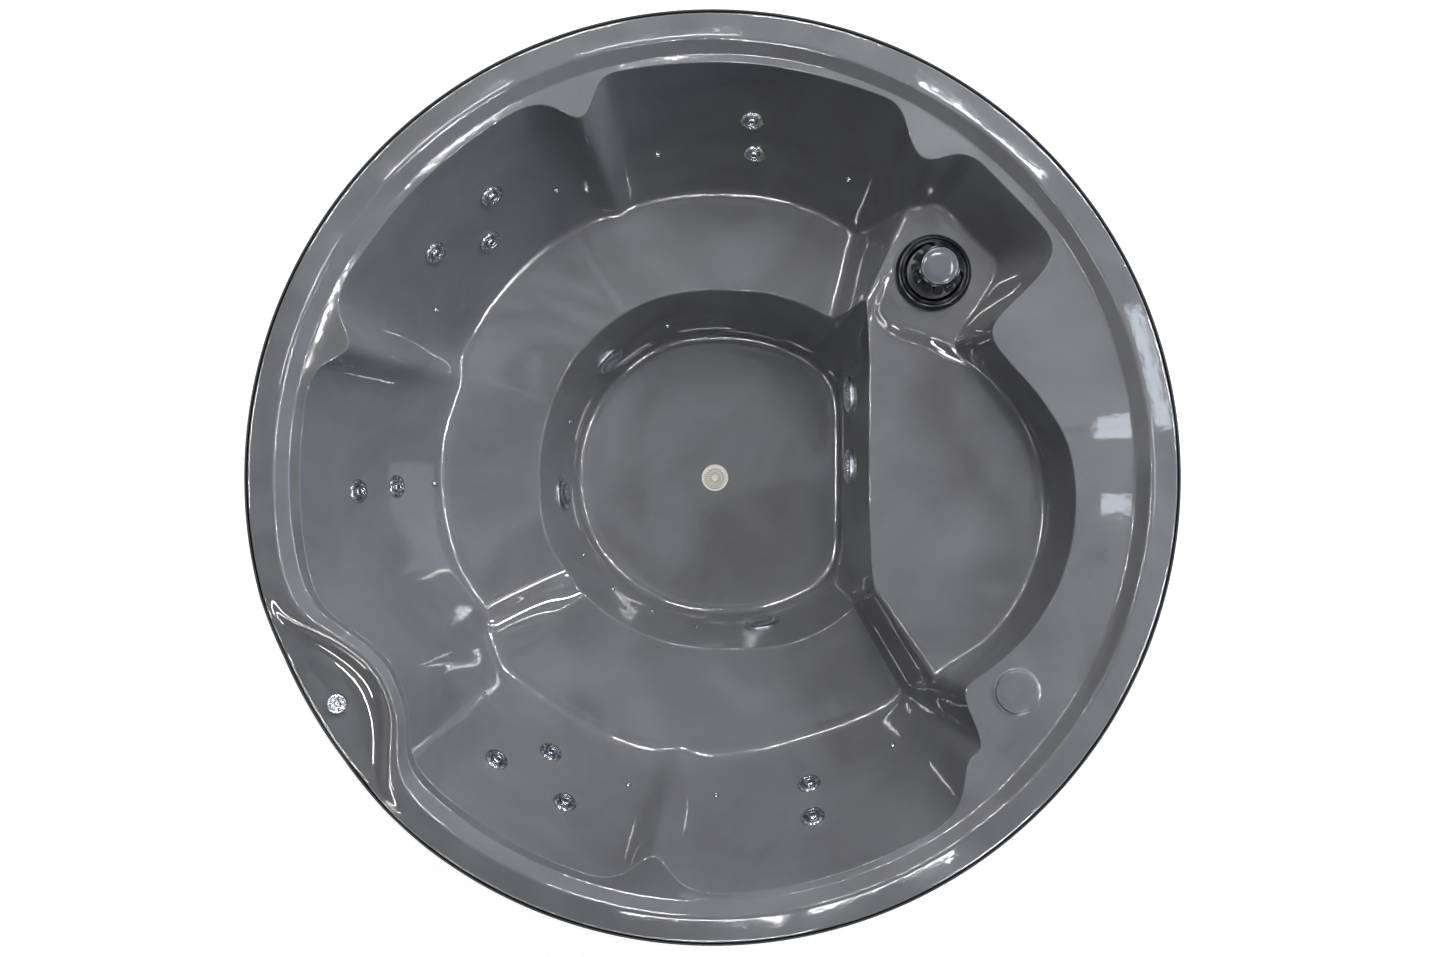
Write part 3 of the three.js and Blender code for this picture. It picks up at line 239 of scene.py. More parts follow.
# turns a part modelled along +Z to the normal n and moves it to the place:
# R = I + K + K K / (1 + n_z), where K is the cross-product matrix of z cross n
def standOn(part, point, normal, spin=0.0):
    turn = np.radians(spin)
    c, s = np.cos(turn), np.sin(turn)
    about = np.array([[c, -s, 0], [s, c, 0], [0, 0, 1]])
    v = np.array([-normal[1], normal[0], 0.0])
    k = np.array([[0, -v[2], v[1]], [v[2], 0, -v[0]], [-v[1], v[0], 0]])
    rotation = np.eye(3) + k + k @ k / (1 + normal[2])
    return (part[0] @ about.T @ rotation.T + point, *part[1:])


# the part with the offset added to each point
def moved(part, offset):
    return (part[0] + np.asarray(offset, float), *part[1:])


# vacuum-formed cast acrylic sheet: deep gloss with a faint orange peel and a pearly grey; its
# cloudy tone is partly the sheet's own marbling and partly a painted reflection of a patchy ceiling
def acrylicMaterial():
    look = dict(cloudAndReflection="#7d7e80", deep="#707072", fleck="#8f939b", cloudAndReflectionSize=320, fleckSize=1.6,
                peelSize=9, waveSize=60, roughness=0.035)
    material, tree = newMaterial("grey_vacuum_formed_acrylic")
    place = objectPlace(tree)
    # cloudy lighter and darker tone: partly the sheet's marbling, partly a painted reflection of a
    # patchy ceiling
    cloudAndReflection = noise(tree, place, look["cloudAndReflectionSize"], 6, Roughness=0.62, Distortion=0.8)
    blend = mixed(tree, ranged(tree, cloudAndReflection, 0.34, 0.68), look["deep"], look["cloudAndReflection"])
    fleck = noise(tree, place, look["fleckSize"], 2)
    colour = mixed(tree, ranged(tree, fleck, 0.62, 0.72, 0, 0.05), blend, look["fleck"])
    gloss = ranged(tree, cloudAndReflection, 0.3, 0.7, look["roughness"] * 0.7, look["roughness"] * 1.5)
    waviness = bumped(tree, noise(tree, place, look["waveSize"], 2), 0.05, 0.004)
    peel = noise(tree, place, look["peelSize"], 1, Roughness=0.4)
    bump = bumped(tree, peel, 0.03, 0.001, Normal=waviness)
    closeMaterial(tree, colour, gloss, bump, IOR=1.49)
    return material


# electroplated chrome on moulded plastic, or ground sheet steel: bright, with fine wiping marks
def chromeMaterial(name, hexColours, roughness, markSize):
    material, tree = newMaterial(name)
    marks = noise(tree, objectPlace(tree), markSize, 4)
    gloss = ranged(tree, marks, toLow=roughness * 0.6, toHigh=roughness * 1.7)
    bump = bumped(tree, marks, 0.08, 0.0006)
    closeMaterial(tree, mixed(tree, marks, *hexColours), gloss, bump, Metallic=1)
    return material


# injection-moulded plastic (ABS or PVC): even colour, a fine spark texture and a soft gloss
def plasticMaterial(name, hexColours, roughness, grain, bumpStrength=0.12):
    patchSize = 45
    material, tree = newMaterial(name)
    place = objectPlace(tree)
    patch = noise(tree, place, patchSize, 3)
    gloss = ranged(tree, patch, toLow=roughness * 0.75, toHigh=roughness * 1.3)
    bump = bumped(tree, noise(tree, place, grain, 3), bumpStrength, 0.0006)
    closeMaterial(tree, mixed(tree, patch, *hexColours), gloss, bump, IOR=1.53)
    return material


# oiled thermally treated pine: brown boards, long dark grain up the stave, each board its own tone
def woodMaterial(name, light, dark, roughness):
    look = dict(grain=(5, 5, 420), pore=(1.4, 1.4, 60), boardShift=9)
    material, tree = newMaterial(name)
    board = addNode(tree, "Attribute", attribute_name="board").outputs["Fac"]
    way = addNode(tree, "CombineXYZ", {"Z": board}).outputs[0]
    apart = (0, 0, look["boardShift"])
    shift = addNode(tree, "VectorMath", {0: way, 1: apart}, operation="MULTIPLY")
    own = {0: objectPlace(tree), 1: shift.outputs[0]}
    place = addNode(tree, "VectorMath", own, operation="ADD").outputs[0]

    def stretched(size, detail, **sockets):
        scale = [1 / (s * mm) for s in size]
        mapped = addNode(tree, "Mapping", {"Vector": place, "Scale": scale})
        return noise(tree, mapped.outputs[0], 1 / mm, detail, **sockets)

    grain = stretched(look["grain"], 5, Roughness=0.6, Distortion=0.9)
    pores = stretched(look["pore"], 3)
    colour = mixed(tree, ranged(tree, grain, 0.32, 0.68), dark, light)
    tone = ranged(tree, board, toLow=0.72, toHigh=1.18)
    toned = mixed(tree, 1, colour, tone, blend_type="MULTIPLY")
    poreDark = ranged(tree, pores, 0.30, 0.46, 0.62)
    final = mixed(tree, 1, toned, poreDark, blend_type="MULTIPLY")
    gloss = ranged(tree, grain, toLow=roughness * 0.8, toHigh=roughness * 1.25)
    closeMaterial(tree, final, gloss, bumped(tree, pores, 0.35, 0.0008), IOR=1.5)
    return material


# brushed stainless steel strip: fine lines run round the tub, so the noise is drawn out round +Z
def brushedMaterial(name, hexColours, roughness):
    lineScale, stainSize = (3, 3, 1 / (1.2 * mm)), 70
    material, tree = newMaterial(name)
    place = objectPlace(tree)
    squeezed = addNode(tree, "Mapping", {"Vector": place, "Scale": lineScale}).outputs[0]
    lines = noise(tree, squeezed, 1 / mm, 4)
    gloss = ranged(tree, lines, toLow=roughness * 0.7, toHigh=roughness * 1.5)
    colour = mixed(tree, noise(tree, place, stainSize, 5), *hexColours)
    closeMaterial(tree, colour, gloss, bumped(tree, lines, 0.15, 0.0004), Metallic=1)
    return material


# folded filter fleece: matt white polyester with a faint fibre
def fleeceMaterial(name, hexColours, roughness, fibreSize):
    material, tree = newMaterial(name)
    fibre = noise(tree, objectPlace(tree), fibreSize, 5, Roughness=0.75)
    colour = mixed(tree, fibre, *hexColours)
    sheen = {"Sheen Weight": 0.15}
    closeMaterial(tree, colour, roughness, bumped(tree, fibre, 0.3, 0.0006), **sheen)
    return material


acrylic = acrylicMaterial()
chrome = chromeMaterial("chrome_plated_abs", ("#d4d7db", "#b9bdc4"), 0.10, 6)
coverSteel = chromeMaterial("satin_stainless_steel", ("#d6d8dc", "#b6b9be"), 0.3, 3)
blackGloss = plasticMaterial("black_moulded_abs", ("#0d0e10", "#131417"), 0.16, 1.2)
blackMatt = plasticMaterial("black_polyethylene", ("#17181a", "#1f2022"), 0.5, 1.5)
greyPlastic = plasticMaterial("grey_moulded_pvc", ("#54585c", "#5e6266"), 0.45, 1.2)
paleShade = plasticMaterial("pale_abs_in_shade", ("#a3a197", "#b7b5aa"), 0.5, 1.2)
greyLid = plasticMaterial("grey_gloss_abs", ("#5f6167", "#696b71"), 0.14, 1.4, bumpStrength=0.05)
palePlastic = plasticMaterial("pale_moulded_abs", ("#e9e6db", "#f3f1e9"), 0.38, 1.2)
rubber = plasticMaterial("black_rubber_edging", ("#0a0a0b", "#111112"), 0.42, 0.9)
pipePlastic = plasticMaterial("flexible_pvc_hose", ("#d7d8d6", "#c8cac9"), 0.4, 2.0)
motorPaint = plasticMaterial("blue_grey_motor_paint", ("#2f3d4c", "#36465a"), 0.42, 1.0)
staveWood = woodMaterial("thermo_pine_staves", "#8a5f3c", "#4f3220", 0.48)
frameWood = woodMaterial("planed_spruce", "#c9a877", "#9c7a4d", 0.7)
hoopSteel = brushedMaterial("brushed_stainless_strip", ("#a7aaae", "#8b8e93"), 0.3)
fleece = fleeceMaterial("pleated_polyester_fleece", ("#d9d8d0", "#f1f0ea"), 0.85, 1.5)
print("materials made")


shell = dict(radius=990.6, height=890, wall=8, shoulder=862, levels=(390, 430, 670, 700), floor=95,
             drainFall=4, lip=848, controlPlatform=868, floorRounding=30, footwellTop=24, seat=40,
             wallTop=16, shelf=14, grooveRadius=903, grooveStep=12, grooveBack=22, crestFlat=948,
             platformFoot=6, platformFootMax=973.9, platformEdge=977, crestStep=14, footStep=16,
             riserFoot=0.36, riserTop=0.68, drainRings=(0.7, 0.32),
             floorCorner=16, rim=983.2, longestStep=7.5)
# row angle; angle, share of the radius and level of the bench edge, and of the seat back's foot;
# angle, share and rise over the shoulder of its top; shares of the crest and of the control
# platform's foot, and how far the rim drops to that platform. A level counts through the list
# above, and most rows end with the plain crest
plainCrest = [0.9348, 0.9752, 0]
drawnColumns = [
    [-166, -166, 0.4512, 0, -165.5, 0.6945, 0, -166, 0.8924, 0, 0.9388, 0.9752, 0],
    [-162, -161.5, 0.4523, 0, -162, 0.6935, 0, -162, 0.8863, 0.07, 0.9227, 0.9893, 0.18],
    [-158.6, -158, 0.4523, 0, -158.5, 0.6885, 0, -158.6, 0.854, 0.29, 0.8843, 0.9217, 0.82],
    [-154.8, -154.5, 0.4502, 0, -155, 0.6834, 0, -154.8, 0.8157, 0.36, 0.8439, 0.8762, 1],
    [-151.3, -151, 0.4472, 0, -151.7, 0.6784, 0, -151.3, 0.7975, 0.36, 0.8248, 0.854, 1.05],
    [-149, -148.5, 0.4442, 0.03, -149.8, 0.6753, 0.03, -149, 0.7955, 0.36, 0.8217, 0.848, 1.05],
    [-146.5, -145.5, 0.4422, 0.3, -147.6, 0.6844, 0.68, -146.5, 0.8005, 0.36, 0.8258, 0.853, 1.05],
    [-143.7, -142.5, 0.4411, 0.6, -144.2, 0.6986, 1, -143.7, 0.8106, 0.36, 0.8359, 0.8722, 1],
    [-141, -140, 0.4401, 0.85, -141, 0.7097, 1, -141, 0.8338, 0.29, 0.8611, 0.9045, 1],
    [-138.3, -137.5, 0.4391, 1, -138.3, 0.7188, 1, -138.3, 0.8722, 0.14, 0.9005, 0.9509, 0.82],
    [-135.5, -135, 0.4381, 1, -135.5, 0.7188, 1, -135.5, 0.8904, 0.04, 0.9287, 0.9812, 0.36],
    [-132, -132, 0.4361, 1, -132, 0.7137, 1, -132, 0.8944, 0, 0.9368, 0.9752, 0],
    [-126, -126, 0.4341, 1, -126, 0.7077, 1, -126, 0.8944, 0, 0.9368, 0.9752, 0],
    [-110, -110, 0.43, 1, -110, 0.7066, 1, -109, 0.8954, 0],
    [-105, -105, 0.429, 1, -104.5, 0.7077, 1, -105, 0.8944, 0],
    [-101.7, -101.5, 0.429, 1, -100.7, 0.7066, 1, -101.9, 0.8692, 0],
    [-98.6, -98.5, 0.429, 1, -97.4, 0.6875, 1, -98.8, 0.7995, 0],
    [-95.4, -95.4, 0.429, 1, -94.2, 0.6996, 1, -95.4, 0.8752, 0],
    [-91.6, -91.6, 0.429, 1, -91, 0.7046, 1, -91.4, 0.8964, 0],
    [-86, -86, 0.429, 1, -86, 0.7026, 1, -86, 0.8954, 0],
    [-72, -71, 0.4492, 1, -72, 0.6955, 1, -71, 0.8944, 0],
    [-64, -62, 0.4623, 1, -64, 0.7046, 1, -62, 0.8944, 0],
    [-59, -56, 0.4694, 1, -59, 0.7137, 1, -58, 0.8995, 0],
    [-55, -51, 0.4735, 1, -55, 0.7208, 1, -53.8, 0.8934, 0],
    [-51.8, -47, 0.4765, 1, -51.6, 0.7248, 1, -50.6, 0.856, -0.07],
    [-49.3, -43.5, 0.4785, 1, -49.2, 0.7248, 1, -47.6, 0.8126, -0.14],
    [-47.4, -41, 0.4775, 1, -47.6, 0.7147, 1, -45, 0.8338, -0.21],
    [-45.2, -37, 0.4704, 1.94, -43.4, 0.6965, 1.97, -42.8, 0.7652, -0.29],
    [-43, -34.4, 0.4523, 2, -41.3, 0.6865, 2, -40.6, 0.7016, -0.29],
    [-39, -31.5, 0.43, 2, -37.8, 0.6996, 2, -36.8, 0.7188, -0.29],
    [-34, -28, 0.4119, 2, -33.2, 0.7258, 2, -32, 0.7389, -0.29],
    [-26, -23, 0.3937, 2, -26, 0.7541, 2, -25.5, 0.7652, -0.29],
    [-18, -17, 0.3775, 2, -18, 0.7692, 2, -18, 0.7824, -0.29],
    [-9, -9, 0.3644, 2, -9, 0.7743, 2, -9, 0.7904, -0.29],
    [0, 0, 0.3594, 2, 0, 0.7622, 2, 0, 0.7824, -0.29],
    [5.4, 5.4, 0.3614, 2, 5.4, 0.7501, 2, 5.4, 0.7692, 0],
    [9, 9, 0.3634, 2, 9, 0.7379, 2, 9, 0.7511, 0],
    [16, 16, 0.3745, 2, 16.5, 0.7026, 2, 16, 0.7147, 0],
    [21.5, 20.5, 0.3846, 2, 22, 0.6663, 2, 21.5, 0.6824, 0],
    [26, 24.5, 0.3967, 2, 26, 0.638, 2.27, 26.4, 0.6683, 0],
    [28.4, 27.5, 0.4068, 2, 28.2, 0.6279, 2.73, 28.8, 0.6865, 0],
    [30, 30, 0.4169, 2, 30, 0.638, 3, 30, 0.7309, 0],
    [31.8, 32.5, 0.428, 2, 32.4, 0.7066, 3, 31.2, 0.8076, 0],
    [33.4, 35, 0.4411, 2, 34.6, 0.7753, 3, 32.8, 0.8742, 0],
    [35.5, 37.5, 0.4553, 2, 36.8, 0.8157, 3, 35.2, 0.8964, 0],
    [39, 40, 0.4694, 2, 39.5, 0.8096, 3, 39.5, 0.8904, 0],
    [43, 42.4, 0.4866, 2, 43.2, 0.8056, 3, 44, 0.8873, 0],
    [46.5, 44.6, 0.5027, 2, 47.2, 0.8076, 3, 48, 0.8894, 0],
    [49.5, 46.6, 0.5169, 2.27, 50.4, 0.8136, 3, 51, 0.8924, 0],
    [51.6, 48, 0.527, 2.73, 52.2, 0.7894, 3, 53.4, 0.8722, 0],
    [53.3, 49, 0.535, 2.93, 53.6, 0.7672, 3, 55.6, 0.8197, 0],
    [55.2, 50, 0.5381, 2.87, 54.8, 0.749, 2.83, 58.4, 0.8258, 0],
    [57.6, 52, 0.5088, 1.04, 58.8, 0.7046, 1.02, 61, 0.8641, 0],
    [60, 54, 0.4967, 1, 61.2, 0.7087, 1, 63.4, 0.9005, 0],
    [64.5, 60, 0.4946, 1, 65, 0.7147, 1, 66.6, 0.8974, 0],
    [72, 70, 0.4866, 1, 72, 0.7208, 1, 72, 0.8944, 0],
    [84, 84, 0.4745, 1, 84, 0.7188, 1, 84, 0.8944, 0],
    [98, 98, 0.4735, 1, 98, 0.7177, 1, 98, 0.8944, 0],
    [102.6, 102.6, 0.4735, 1, 104, 0.7177, 1, 103.4, 0.8984, 0],
    [105.7, 105.7, 0.4735, 1, 107, 0.7167, 1, 106.2, 0.8974, 0],
    [108.6, 108.6, 0.4735, 1, 109.6, 0.7026, 1, 110, 0.7975, 0],
    [112, 112, 0.4735, 1, 112.2, 0.7157, 1, 112.8, 0.8682, 0],
    [116, 116, 0.4724, 1, 115.5, 0.7198, 1, 116, 0.8964, 0],
    [121, 121, 0.4704, 0.97, 121, 0.7198, 0.97, 121, 0.8944, 0],
    [136, 136, 0.4664, 0.65, 136, 0.7188, 0.65, 136, 0.8924, 0],
    [148, 148, 0.4603, 0.25, 148, 0.7188, 0.25, 147.5, 0.8944, 0],
    [152.5, 152.5, 0.4573, 0.12, 153, 0.7198, 0.15, 152.2, 0.9005, 0],
    [156, 156, 0.4543, 0.05, 156, 0.7167, 0.07, 156.4, 0.8894, 0],
    [159.2, 159.2, 0.4533, 0.03, 158.6, 0.6945, 0.03, 160.2, 0.8086, 0],
    [162.6, 162.6, 0.4512, 0, 161.5, 0.6935, 0, 163.4, 0.8762, 0],
    [166.5, 166.5, 0.4492, 0, 166.5, 0.6976, 0, 167, 0.8954, 0],
    [172, 172, 0.4462, 0, 172, 0.6996, 0, 172, 0.8894, 0],
    [183, 183, 0.4452, 0, 183, 0.6996, 0, 183, 0.8884, 0]]
columnShares = np.array([(column + plainCrest)[:13] for column in drawnColumns])
floorShares = np.array([
    [-180, 0.3654], [-163, 0.3664], [-152, 0.3664], [-120, 0.3634], [-88, 0.3624], [-62, 0.3836],
    [-48, 0.3998], [-38, 0.4018], [-32, 0.3876], [-20, 0.3523], [-10, 0.3362], [0, 0.3311],
    [10, 0.3362], [20, 0.3523], [30, 0.3826], [36, 0.4038], [43, 0.4099], [52, 0.4058],
    [63, 0.3967], [75, 0.3876], [88, 0.3836], [114, 0.3846], [142, 0.3745], [177, 0.3654],
    [180, 0.3654],
])
riserShares = np.array([
    [21.5, 0.6461, 0.6461], [26, 0.6239, 0.6279], [28.4, 0.6097, 0.6198], [30, 0.5976, 0.6128],
    [31.8, 0.5794, 0.5956], [33.4, 0.5613, 0.5774], [35.5, 0.5411, 0.5572], [39, 0.529, 0.5451],
    [43, 0.529, 0.5441], [46.5, 0.531, 0.5451], [49.5, 0.537, 0.5502],
])
angleSlots = [0, 1, 4, 7]
ringNames = (
    "floorInner floorOuter floorIn floorEdge floorUp footwellWall benchIn benchEdge benchOut "
    "riserFoot riserTop seatIn seatBack seatUp backMiddle backUp backTop backOut grooveIn groove "
    "bevel crest crestFlat platformFoot platformEdge rimEdge lip").split()


# even steps from each whole number to the next, as many as the counts say
def fineSteps(counts, closed):
    at = np.concatenate([i + np.arange(n) / n for i, n in enumerate(counts)])
    return at if closed else np.append(at, len(counts))


# rows between the drawn ones, by straight interpolation, none over the longest step apart
def expandRows():
    last = columnShares[0].copy()
    last[angleSlots] += 360
    rows = np.vstack([columnShares, last])
    counts = np.ceil(np.diff(rows[:, 0]) / shell["longestStep"]).astype(int)
    at = fineSteps(counts, True)
    return np.stack([np.interp(at, np.arange(len(rows)), column) for column in rows.T], -1)


# vectors brought to length 1
def unit(v):
    return v / np.linalg.norm(v, axis=-1, keepdims=True)


# a point a set length from one point towards another, never past a third of the way
def toward(a, b, length):
    way = b - a
    reach = np.linalg.norm(way, axis=-1, keepdims=True)
    return a + way * np.minimum(length, reach / 3) / reach


# straight interpolation: a + (b - a) share
def lerp(a, b, share):
    return a + (b - a) * share


# control points of the shell: 27 rings from the drain to the lip for each row
def controlNet(rows):
    (angle, footAngle, footShare, footLevel, backAngle, backShare, backLevel, topAngle, topShare,
     topRise, crestShare, dropRadiusShare, dropShare) = rows.T
    s, radius = shell, shell["radius"]
    wrapped = (footAngle + 180) % 360 - 180
    floorRadius = np.interp(wrapped, *floorShares.T) * radius + s["floorCorner"]
    footZ = np.interp(footLevel, range(4), s["levels"])
    backZ = np.interp(backLevel, range(4), s["levels"])
    topZ = s["shoulder"] + (s["height"] - s["shoulder"]) * topRise
    floorEdge = polar(footAngle, floorRadius, s["floor"])
    benchEdge = polar(footAngle, footShare * radius, footZ)
    seatBack = polar(backAngle, backShare * radius, backZ)
    backTop = polar(topAngle, topShare * radius, topZ)
    centre = np.array([0.0, 0.0, s["floor"]])
    span = (backShare - footShare) * radius
    onRiser = ((angle >= riserShares[0, 0]) & (angle <= riserShares[-1, 0]))[:, None]

    # a point on the way from bench to seat back: at the riser's own share, else a plain part of it
    def risen(shares, z, plainPart):
        part = (np.interp(angle, riserShares[:, 0], shares) - footShare) * radius / span
        share = footShare + (backShare - footShare) * part
        steep = polar(footAngle + (backAngle - footAngle) * part, share * radius, z)
        return np.where(onRiser, steep, lerp(benchEdge, seatBack, plainPart))

    riserFoot = risen(riserShares[:, 1], footZ, s["riserFoot"])
    riserTop = risen(riserShares[:, 2], backZ, s["riserTop"])
    seatRound = (s["seat"] * np.where(backLevel > 1.5, 0.5, 1.0))[:, None]
    control = dropShare > 0
    crestRadius, dropRadius = crestShare * radius, dropRadiusShare * radius
    grooveAt = np.maximum(topShare * radius + s["grooveStep"],
                          np.minimum(s["grooveRadius"], crestRadius - s["grooveBack"]))
    groove = polar(topAngle + (angle - topAngle) * 0.7, grooveAt, topZ)
    crest = polar(topAngle + (angle - topAngle) * 0.6, crestRadius, s["height"])
    rimZ = s["height"] - (s["height"] - s["controlPlatform"]) * dropShare
    flatAt = np.where(control, np.maximum(crestRadius + s["crestStep"], dropRadius - s["footStep"]),
                      s["crestFlat"])
    footAt = np.minimum(dropRadius + np.where(control, s["platformFoot"], 0), s["platformFootMax"])
    inner, outer = (lerp(floorEdge, centre, share) for share in s["drainRings"])
    inner[:, 2] -= s["drainFall"]
    outer[:, 2] -= s["drainFall"] / 2
    net = np.stack([
        inner, outer, toward(floorEdge, centre, s["floorRounding"]), floorEdge,
        toward(floorEdge, benchEdge, s["floorRounding"]), lerp(floorEdge, benchEdge, 0.5),
        toward(benchEdge, floorEdge, s["footwellTop"]), benchEdge,
        toward(benchEdge, riserFoot, s["footwellTop"]), riserFoot, riserTop,
        toward(seatBack, riserTop, seatRound), seatBack, toward(seatBack, backTop, seatRound),
        lerp(seatBack, backTop, 0.5), toward(backTop, seatBack, s["wallTop"]), backTop,
        toward(backTop, groove, s["shelf"]), toward(groove, backTop, s["wallTop"]), groove,
        lerp(groove, crest, 0.5), crest, polar(angle, flatAt, s["height"]),
        polar(angle, footAt, rimZ), polar(angle, s["platformEdge"], rimZ),
        polar(angle, s["rim"], rimZ), polar(angle, s["rim"], s["lip"])], 1)
    gapBefore = np.radians((angle - np.roll(angle, 1)) % 360)
    gapAfter = np.radians((np.roll(angle, -1) - angle) % 360)
    widen = 6 / (4 + np.cos(gapBefore) + np.cos(gapAfter))
    net[:, :, :2] *= widen[:, None, None]
    middle = np.broadcast_to([0, 0, s["floor"] - s["drainFall"]], (len(net), 1, 3))
    beyond = 2 * net[:, -1:] - net[:, -2:-1]
    return np.concatenate([middle, net, beyond], 1)


rows = expandRows()
rowAngles = np.append(rows[:, 0], rows[0, 0] + 360)
net = controlNet(rows)
columnCount, ringCount = len(rows), len(ringNames)


# rows of cubic B-spline weights: (1-t)^3, 3t^3-6t^2+4, -3t^3+3t^2+3t+1 and t^3, all over 6
def splineWeights(at, count, closed, lastCell=None):
    cell = np.floor(at).astype(int)
    if lastCell is not None:
        cell = np.minimum(cell, lastCell)
    t = at - cell
    parts = np.stack([(1 - t) ** 3, 3 * t ** 3 - 6 * t ** 2 + 4,
                      -3 * t ** 3 + 3 * t ** 2 + 3 * t + 1, t ** 3], -1) / 6
    weights = np.zeros((len(at), count))
    for k in range(4):
        slot = (cell - 1 + k) % count if closed else cell + k
        weights[np.arange(len(at)), slot] += parts[:, k]
    return weights


# the shell's upper surface: the tensor product of the two sets of weights with the control net
def surface(columnsAt, ringsAt, grid=net):
    across = splineWeights(np.asarray(columnsAt, float), columnCount, True)
    along = splineWeights(np.asarray(ringsAt, float), grid.shape[1], False, grid.shape[1] - 4)
    return np.einsum("ai,ijk,bj->abk", across, grid, along)


# the same net with a control ring added on either side of each moulded edge, which makes it crisp
def crispNet():
    reach = {ringNames.index(name) + 1: length for name, length in (
        ("benchEdge", 15), ("backTop", 8), ("groove", 6), ("crest", 12))}
    rings = []
    for j in range(net.shape[1]):
        here = net[:, j]
        beside = [toward(here, net[:, k], reach[j]) for k in (j - 1, j + 1)] if j in reach else []
        rings += [*beside[:1], here, *beside[1:]]
    return np.stack(rings, 1)


# unit normals from central differences of the surface in both directions
def surfaceNormals(columnsAt, ringsAt):
    columnsAt, ringsAt, step = np.asarray(columnsAt, float), np.asarray(ringsAt, float), 0.2
    ringsAfter = np.minimum(ringsAt + step, ringCount - 1)
    along = surface(columnsAt, ringsAfter) - surface(columnsAt, ringsAt - step)
    across = surface(columnsAt + step, ringsAt) - surface(columnsAt - step, ringsAt)
    return unit(np.cross(along, across))


upperRings = [ringNames.index(name) for name in (
    "floorEdge floorUp benchEdge benchOut riserFoot riserTop seatIn seatBack seatUp backTop "
    "backOut groove crest crestFlat platformFoot rimEdge lip").split()]
finerRings = ("floorUp", "benchOut", "seatIn", "seatUp", "backOut")
lowerRings = [ring for ring in upperRings if ringNames[ring] not in finerRings]


# where a fitting stands in the CAD model: on its flat facets, with the smooth surface's normal
def placeAt(angle, share, fromName, toName):
    wanted = angle + 360 if angle < rowAngles[0] else angle
    column = np.interp(wanted, rowAngles, np.arange(columnCount + 1))
    start, end = ringNames.index(fromName), ringNames.index(toName)
    ring = start + (end - start) * share
    c = int(np.floor(column))
    k = max(i for i in range(len(upperRings) - 1) if upperRings[i] <= ring)
    part = (ring - upperRings[k]) / (upperRings[k + 1] - upperRings[k])
    corners = surface([c, c + 1], [upperRings[k], upperRings[k + 1]])
    edges = lerp(corners[:, 0], corners[:, 1], part)
    return lerp(edges[0], edges[1], column - c), surfaceNormals([column], [ring])[0, 0]


jetShares = [
    (128.2, 0.66), (141.2, 0.66), (133.6, 0.44), (83.6, 0.66), (82.6, 0.44), (182.2, 0.68),
    (181.6, 0.44), (-120.8, 0.41), (-127.6, 0.65), (-115, 0.66), (-72.6, 0.44), (-73.8, 0.65)]
injectorShares = [
    (118.5, 0.45), (149.1, 0.44), (99.7, 0.45), (63.9, 0.45), (181.2, 0.1), (-136.6, 0.37),
    (-105.6, 0.41), (-90.2, 0.41), (-56.5, 0.41)]
footwellShares = [
    (107.2, 0.47), (158.8, 0.53), (-149.9, 0.50), (-132.9, 0.50), (-115, 0.44), (-97, 0.53)]
suctionShares = [(132.2, 0.5), (185.8, 0.52), (-72.6, 0.48), (31, 0.52), (5.1, 0.5)]
jetPlaces = [placeAt(*row, "seatBack", "backTop") for row in jetShares]
injectorPlaces = [placeAt(*row, "seatBack", "backTop") for row in injectorShares]
footwellPlaces = [placeAt(*row, "floorEdge", "benchEdge") for row in footwellShares]
suctionPlaces = [placeAt(*row, "floorEdge", "benchEdge") for row in suctionShares]
filterPlace = np.array([498.4, 464.9, shell["levels"][3]])
airPlace = np.array([-795, -478.5, shell["controlPlatform"]])
drainPlace = np.array([0, 0, shell["floor"] - shell["drainFall"]])


# the moulding: the crisp surface on top; below it the plain one moved along its normals by the
# wall's thickness; a strip joins both at the rim and two fans close the floor's middle
def shellParts():
    detail = dict(degrees=0.95, fewest=3, rings=5, flatRings=[3, 3], lipRings=[3])
    wanted = np.ceil(np.diff(rowAngles) / detail["degrees"])
    perGap = np.maximum(detail["fewest"], wanted).astype(int)
    columnsAt = fineSteps(perGap, True)
    crisp = crispNet()
    perRing = [detail["rings"]] * (crisp.shape[1] - 6)
    ringsAt = fineSteps(detail["flatRings"] + perRing + detail["lipRings"], False)
    upper = surface(columnsAt, ringsAt, crisp)
    lowerAt = np.array(lowerRings, float)
    normals = surfaceNormals(columnsAt, lowerAt)
    normals[:, -1, 2] = 0
    normals[:, -1] = unit(normals[:, -1])
    lower = surface(columnsAt, lowerAt) - normals * shell["wall"]
    n, m, w = len(columnsAt), len(ringsAt), len(lowerAt)
    start = n * m
    middle = start + n * w
    points = np.concatenate([upper.reshape(-1, 3), lower.reshape(-1, 3), [drainPlace],
                             [drainPlace - [0, 0, shell["wall"]]]])
    i = np.arange(n)
    k = (i + 1) % n
    rim = np.stack([i * m + m - 1, start + i * w + w - 1, start + k * w + w - 1, k * m + m - 1], -1)
    fans = np.vstack([fan(middle, 0, n, m), fan(middle + 1, start, n, w, True)])
    return points, [gridFaces(n, m)[:, ::-1], gridFaces(n, w, first=start), rim, fans]


# round holes through the moulding for every fitting, as in the CAD model
def holeParts():
    drills = dict(reach=32, jet=(18.7, 24), suction=(26.7, 32), injector=(5.1, 12),
                  drain=(24.7, 32), filter=(70.7, 96), air=(11.7, 24))
    half = drills["reach"]

    def drill(name):
        radius, segments = drills[name]
        return turnedPart([(0, -half), (radius, -half), (radius, half), (0, half)], segments)

    leaning = (("jet", jetPlaces), ("suction", suctionPlaces), ("injector", injectorPlaces))
    upright = (("drain", drainPlace), ("filter", filterPlace), ("air", airPlace))
    return [standOn(drill(name), *place) for name, places in leaning for place in places] + [
        moved(drill(name), place) for name, place in upright]


